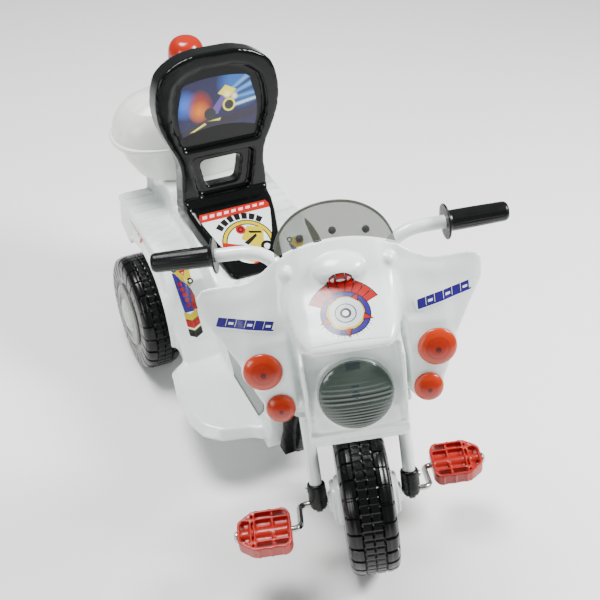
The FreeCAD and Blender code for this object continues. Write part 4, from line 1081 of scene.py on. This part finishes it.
def seat():
    """Saddle and back in one moulding, with the two pictures on it."""
    lean = BODY @ shift(0, 540, 308) @ spin("X", -6)
    outline = rounded(both_sides(BACK), 90, 6)
    parts = [prism("back", outline, -19, 19, "Y", lean)]
    rings = []
    for y, top, low, wide in ((382, 262, 256, 40), (390, 268, 257, 49), (420, 283, 259, 55),
                              (450, 299, 267, 64), (480, 314, 280, 72), (503, 324, 290, 76),
                              (530, 326.5, 292, 78), (556, 325, 292, 79)):
        ring = [(-wide, top - 5), (-wide + 7, top), (wide - 7, top), (wide, top - 5), (wide, low),
                (-wide, low)]
        rings.append([(x, y, z) for x, z in rounded(ring, 5, 3)])
    parts.append(loft("saddle", rings))
    parts.append(prism("roll", arc((0, 0), 16, step=20), -74, 74, "X",
                       BODY @ shift(0, 524, 316)))
    cutters = []
    inner = [(66, 112)] + [(x * 0.77, 104 + (z - 104) * 0.86) for x, z in BACK if z > 100]
    cutters.append(prism("dish", rounded(both_sides(inner), 10, 4), -60, -9, "Y", lean))
    hand = rounded([(-46, 24), (46, 24), (58, 97), (-58, 97)], 14, 5)
    cutters.append(prism("hand_dish", hand, -60, -6, "Y", lean))
    hole = rounded([(-29, 36), (29, 36), (38, 84), (-38, 84)], 9, 5)
    cutters.append(prism("hand_hole", hole, -60, 60, "Y", lean))
    whole = moulded("saddle_and_back", parts, 2.2, 7, cutters)
    finish(whole, BLACK_GLOSS, "frame", "seat", sharp=60)
    picture = Paint("back_print", (0.005, 0.004, 0.045), 0.16, edge=22, Coat_Weight=0.1, Coat_Roughness=0.08)
    picture.disc(44, 34, 34, (0.012, 0.10, 0.36))
    picture.disc(-56, 12, 16, (0.03, 0.12, 0.55))
    picture.edge = 5
    for k in range(5):
        picture.shape([(12, 8 + k * 2), (70, 12 + 9 * k), (70, 15 + 10.5 * k), (12, 9.4 + k * 2)],
                      ((0.12, 0.36, 0.62), (0.008, 0.012, 0.08))[k % 2])
    picture.edge = 18
    picture.disc(-30, 4, 22, (0.26, 0.020, 0.001), 1.3)
    picture.disc(-32, -3, 11, (0.62, 0.17, 0.006))
    picture.edge = 4
    picture.shape([(-70, -42), (70, -26), (70, -6), (20, -8), (-20, -20), (-70, -24)], (0.008, 0.004, 0.018))
    picture.shape([(18, -6), (72, 2), (72, 6), (18, -2)], (0.45, 0.68, 0.85))
    picture.edge = 1.5
    picture.shape([(-18, -12), (8, 18), (18, 18), (0, -12)], (0.10, 0.06, 0.24))
    picture.disc(-14, -10, 10, (0.012, 0.012, 0.016))
    picture.disc(20, 0, 10, (0.012, 0.012, 0.016))
    picture.hoop(20, 0, 8, 11, (0.75, 0.68, 0.03))
    picture.shape([(2, 22), (16, 34), (34, 24), (20, 12)], (0.75, 0.66, 0.03))
    picture.edge = 6
    picture.disc(18, 18, 5, (0.98, 0.80, 0.35))
    picture.disc(30, 13, 4.4, (0.98, 0.80, 0.35))
    picture.edge = 1.5
    picture.shape([(-50, -36), (-24, -24), (-22, -27), (-44, -36)], (0.75, 0.72, 0.03))
    picture.shape([(-16, -22), (4, -20), (2, -24)], (0.75, 0.72, 0.03))
    panel = lean @ axes_at(Vector((1, 0, 0)), Vector((0, 0, 1)), Vector((0, -1, 0)), (0, -12, 176))

    def panel_shape(s, t):
        wide = 64 + 7 * math.sin(math.pi * min(1, t * 1.1)) - 4 * t
        u = (2 * s - 1) * wide
        low = -44 + 12 * (1 - (u / 68) ** 2)
        high = 42 + 9 * (1 - (u / 68) ** 2) - max(0, abs(u) - 52) * 0.5
        return u, low + (high - low) * t
    graphics_on("back_picture", whole, panel, panel_shape, 60, 40, picture.done(), "frame")
    label = Paint("saddle_print", (0.72, 0.76, 0.76), 0.22, Coat_Weight=0.1, Coat_Roughness=0.1)
    label.shape([(-70, 36), (70, 36), (70, 60), (-70, 60)], (0.38, 0.008, 0.003))
    for k in range(9):
        label.shape([(-58 + 13 * k, 42 + 0.2 * k), (-50 + 13 * k, 42 + 0.2 * k), (-48 + 13 * k, 48),
                     (-56 + 13 * k, 48)], (0.85, 0.55, 0.50))
    for k in range(-3, 4):
        angle = math.radians(90 - 13.5 * k)
        c, s = math.cos(angle), math.sin(angle)
        label.shape([(48 * c - 4.4 * s, 48 * s + 4.4 * c - 22), (48 * c + 4.4 * s, 48 * s - 4.4 * c - 22),
                     (60 * c + 5.4 * s, 60 * s - 5.4 * c - 22), (60 * c - 5.4 * s, 60 * s + 5.4 * c - 22)],
                     INK)
    label.hoop(2, -22, 36.6, 46, INK)
    label.hoop(2, -22, 38.6, 44, YELLOW)
    label.shape([(-56, -56), (-46, -56), (-70, 36), (-80, 36)], (0.012, 0.02, 0.22))
    label.shape([(-44, -18), (-14, -30), (-8, -22), (-42, -8)], RED)
    label.shape([(-30, -40), (6, -62), (34, -40), (12, -20), (-6, -28)], YELLOW)
    label.shape([(-8, -10), (10, 12), (36, 2), (26, -30), (6, -26)], YELLOW)
    label.disc(-16, -32, 13, INK)
    label.disc(-16, -32, 7.5, (0.55, 0.57, 0.57))
    label.disc(-16, -32, 4, INK)
    label.disc(30, -34, 11, INK)
    label.disc(30, -34, 5.5, (0.62, 0.62, 0.60))
    label.shape([(-6, -18), (20, -6), (20, -11), (0, -24)], INK)
    label.shape([(8, 2), (30, -4), (30, -8), (10, -3)], INK)
    label.disc(-3, 7, 8.5, RED)
    label.hoop(-3, 7, 3, 5, INK)
    label.shape([(-34, -62), (36, -62), (30, -50), (4, -56), (-30, -50)], RED)
    label.shape([(-20, -84), (22, -84), (36, -62), (-34, -62)], (0.38, 0.008, 0.003))
    label.shape([(-10, -76), (14, -74), (8, -68), (-12, -70)], (0.85, 0.83, 0.78))
    slope = BODY @ shift(0, 447, 300) @ spin("X", math.degrees(math.atan2(57, 108)))

    def label_shape(s, t):
        knots = ((0.0, 24), (0.10, 34), (0.35, 48), (0.8, 61), (0.93, 63.5), (1.0, 60))
        wide = np.interp(t, [k[0] for k in knots], [k[1] for k in knots])
        u = (2 * s - 1) * wide
        low = -60 + 16 * abs(u / 34) ** 1.5 * (1 - t)
        return u, low + (52 - low) * t
    graphics_on("saddle_picture", whole, slope, label_shape, 56, 56, label.done(), "frame")
    return whole


def neck():
    """The black cover between the shell and the fork."""
    parts = [prism("arm", [(56, 276), (68, 246), (165, 64), (175, 74), (164, 120), (168, 190), (198, 233),
                           (240, 241), (240, 261), (204, 268), (128, 340), (92, 352)], -37, 37, "X")]
    parts.append(prism("flank", [(112, 225), (150, 72), (175, 74), (164, 120), (168, 190), (193, 226),
                                 (150, 249)], -59, 59, "X"))
    head = BODY @ shift(0, 0, AXLE.z) @ spin("X", -RAKE)
    cutters = [prism("arch", arc(FRONT, 139), -38.5, 38.5, "X")]
    cutters += [prism("wide_arch", arc(FRONT, 158.5), *span(sign, 38, 130), "X") for sign in (1, -1)]
    for name, near, far, low, high in (("above", -63, 47, 274.5, 360), ("below", -137, 93, 100, 161.5),
                                       ("front", -82, -22, 100, 400)):
        box = [(-110, near), (110, near), (110, far), (-110, far)]
        cutters.append(prism(name, box, low, high, "Z", head))
    arm = moulded("neck_moulding", parts, 2.2, 5, cutters)
    bore = tube("bore", [(0, 0, 100), (0, 0, 360)], 15.1, head)
    finish(without(arm, [bore]), BLACK_SATIN, "frame", "neck_cover", sharp=50)


# ---- box, beacon, the rest -------------------------------------------------------------


def oval(half_wide, front, rear, height, steps=96, ripple=None):
    """A level ring between an ellipse and a rectangle."""
    bulge = 2 / 2.6
    middle, reach = (front + rear) / 2, (rear - front) / 2
    ring = []
    for step in range(steps):
        angle = 2 * math.pi * step / steps
        c, s = math.cos(angle), math.sin(angle)
        push = ripple(angle) if ripple else 0
        x = (half_wide + push) * math.copysign(abs(c) ** bulge, c)
        y = middle + (reach + push) * math.copysign(abs(s) ** bulge, s)
        ring.append((x, y, height))
    return ring


def storage():
    """The box behind the seat, its lid, and the beacon on the lid."""
    def corner(angle):
        return -3.0 * max(0, math.cos(4 * (angle - math.pi / 4))) ** 6
    levels = [(48, 36, 314.3, 0), (40, 28, 316, 0), (33, 21, 320, 0), (24, 14, 333, 1), (19, 9.5, 341, 1),
              (14.5, 6.5, 355, 1), (12.4, 5, 364, 1), (9, 3.6, 366, 0), (9, 3.6, 371.6, 0),
              (15, 9, 371.8, 0), (17, 10, 362, 0), (24, 15, 340, 0), (52, 40, 320, 0)]
    rings = [oval(142 - side, 617 + (5 if i > 9 else 0.4), 770 - rear, z, ripple=corner if notch else None)
             for i, (side, rear, z, notch) in enumerate(levels)]
    finish(loft("box_tub", rings), CREAM, "frame", "top_box", sharp=40)
    rings = []
    profile = [(0.990, 0.0), (1.018, 0.01), (1.024, 0.05), (1.018, 0.09), (0.985, 0.11), (0.98, 0.2),
               (0.965, 0.34), (0.93, 0.5), (0.88, 0.63), (0.81, 0.75), (0.72, 0.85), (0.60, 0.93),
               (0.46, 0.975), (0.30, 0.995), (0.15, 1.0), (0.02, 1.0)]
    fine = spline(np.array([[(a, b, 0)] for a, b in profile]), 5, 0)[:, 0, :2]

    def grooves(share):
        def push(angle):
            if not 0.3 < share < 0.975:
                return 0
            return sum(-2.6 * math.exp(-((math.degrees(angle) - at) / 2.6) ** 2) for at in (196, 344))
        return push

    def ring(share, height, push=None):
        return oval(142 * share, 693.5 - 76.5 * share, 693.5 + 76.5 * share, height, 144, push)
    for share, height in fine:
        step = sum(1.1 * math.exp(-((share - at) / 0.012) ** 2) for at in (0.78, 0.64))
        rings.append(ring(share, 372.7 + 79 * height + step, grooves(share)))
    rings.append(oval(2, 692, 695, 447, 144))
    for share, height in ((0.46, 0.90), (0.72, 0.79), (0.88, 0.56), (0.95, 0.3), (0.965, 0.06)):
        rings.append(ring(share, 372.7 + 79 * height))
    lid = loft("box_lid_dome", rings)
    finish(lid, CREAM, "lid", "box_lid", sharp=40)
    top = BODY @ shift(0, 690, 452)

    def flutes(angle, r, z):
        return r - (0.35 * max(0, math.cos(30 * angle)) if 16 < z < 70 and r > 28 else 0), z
    base = lathe("beacon_ring", rounded([(0.01, 0.2, 0), (33, 0.2), (33, 7.5), (29, 11.8), (0.01, 11.8, 0)],
                                        1.6, 3), top, 72)
    finish(base, BLACK_SATIN, "lid", "beacon_base")
    dome = [(27.2, 12.2), (30.8, 12.2), (31, 16), (31, 62)] + [
        (10.5 + 20.3 * math.cos(t), 66 + 26.6 * math.sin(t)) for t in np.linspace(0.05, math.pi / 2, 12)] + [
        (0.01, 93), (0.01, 90), (11, 89.5), (22, 84), (27, 74), (28, 64), (28, 14.5), (27.2, 14.5)]
    finish(lathe("beacon_shade", dome, top, 120, flutes), BEACON, "lid", "beacon_dome", sharp=50)


CAD_LOOKS = {
    "head_tube": ZINC, "rear_axle": ZINC, "axle_bush_left": NYLON, "axle_bush_right": NYLON,
    "axle_cap_left": ZINC, "axle_cap_right": ZINC, "lid_hinge_pin": ZINC, "body_screws": ZINC,
    "fork_rivets": ZINC, "lower_yoke": STEEL, "upper_yoke": STEEL, "steering_stem": ZINC,
    "stem_nut": ZINC, "steering_washers": NYLON, "fairing_stay": STEEL, "headlight_reflector": DISH,
    "windscreen_screws": SCREW,
}


def carried_over():
    """Give the CAD nodes that stay as they are their materials."""
    for name, material in CAD_LOOKS.items():
        mesh = frame["nodes"][name].data
        mesh.materials.clear()
        mesh.materials.append(material)
        mesh.polygons.foreach_set("material_index", [0] * len(mesh.polygons))


# ---- stage -----------------------------------------------------------------------------


PHOTO_WIDTH, FOCAL_LENGTH, SENSOR = 600, 981.1, 36
CAMERA_AT, CAMERA_TOWARDS, CAMERA_ROLL = (-519, -801, 1243), (0.350, 0.696, -0.627), 1.6
LIGHTS = {"key": ((1.7, -0.9, 1.9), 0.7, 120), "fill": ((-2.2, -1.0, 1.2), 0.9, 22),
          "top": ((-0.5, 0.6, 2.6), 1.0, 110)}


def stage():
    """Floor, lights, and the camera of the photo; the focal length above is in pixels."""
    ground = bpy.data.materials.new("pale_floor")
    ground.use_nodes = True
    shader = ground.node_tree.nodes["Principled BSDF"]
    shader.inputs["Base Color"].default_value = (0.90, 0.90, 0.89, 1)
    shader.inputs["Roughness"].default_value = 0.7
    low = cad_box[0][2]
    floor = raw("floor", [(-6, -6, low), (6, -6, low), (6, 6, low), (-6, 6, low)], [(0, 1, 2, 3)])
    floor.data.materials.append(ground)
    world = bpy.data.worlds.new("studio")
    world.use_nodes = True
    world.node_tree.nodes["Background"].inputs[0].default_value = (0.93, 0.97, 1.0, 1)
    world.node_tree.nodes["Background"].inputs[1].default_value = 0.30
    bpy.context.scene.world = world
    for name, (place, size, power) in LIGHTS.items():
        light = bpy.data.lights.new(name, "AREA")
        light.size = size
        light.energy = power
        lamp = bpy.data.objects.new(name, light)
        lamp.location = place
        lamp.rotation_euler = (Vector((0, 0, 0.3)) - Vector(place)).to_track_quat("-Z", "Y").to_euler()
        bpy.context.scene.collection.objects.link(lamp)
    lens = bpy.data.cameras.new("camera")
    lens.lens = SENSOR * FOCAL_LENGTH / PHOTO_WIDTH
    lens.sensor_width = SENSOR
    camera = bpy.data.objects.new("camera", lens)
    forward = Vector(CAMERA_TOWARDS).normalized()
    right = forward.cross(Vector((0, 0, 1))).normalized()
    up = right.cross(forward)
    roll = math.radians(CAMERA_ROLL)
    level = right * math.cos(roll) + up * math.sin(roll)
    upward = up * math.cos(roll) - right * math.sin(roll)
    camera.matrix_world = axes_at(level, upward, -forward, (BODY @ Vector(CAMERA_AT)) * MM)
    bpy.context.scene.collection.objects.link(camera)
    bpy.context.scene.camera = camera


stage()
front_wheel()
pedals()
rear_wheels()
bars()
nose = fairing()
lamps()
windscreen()
fairing_graphics(nose)
shell = body_shell()
body_graphics(shell)
seat()
neck()
storage()
carried_over()
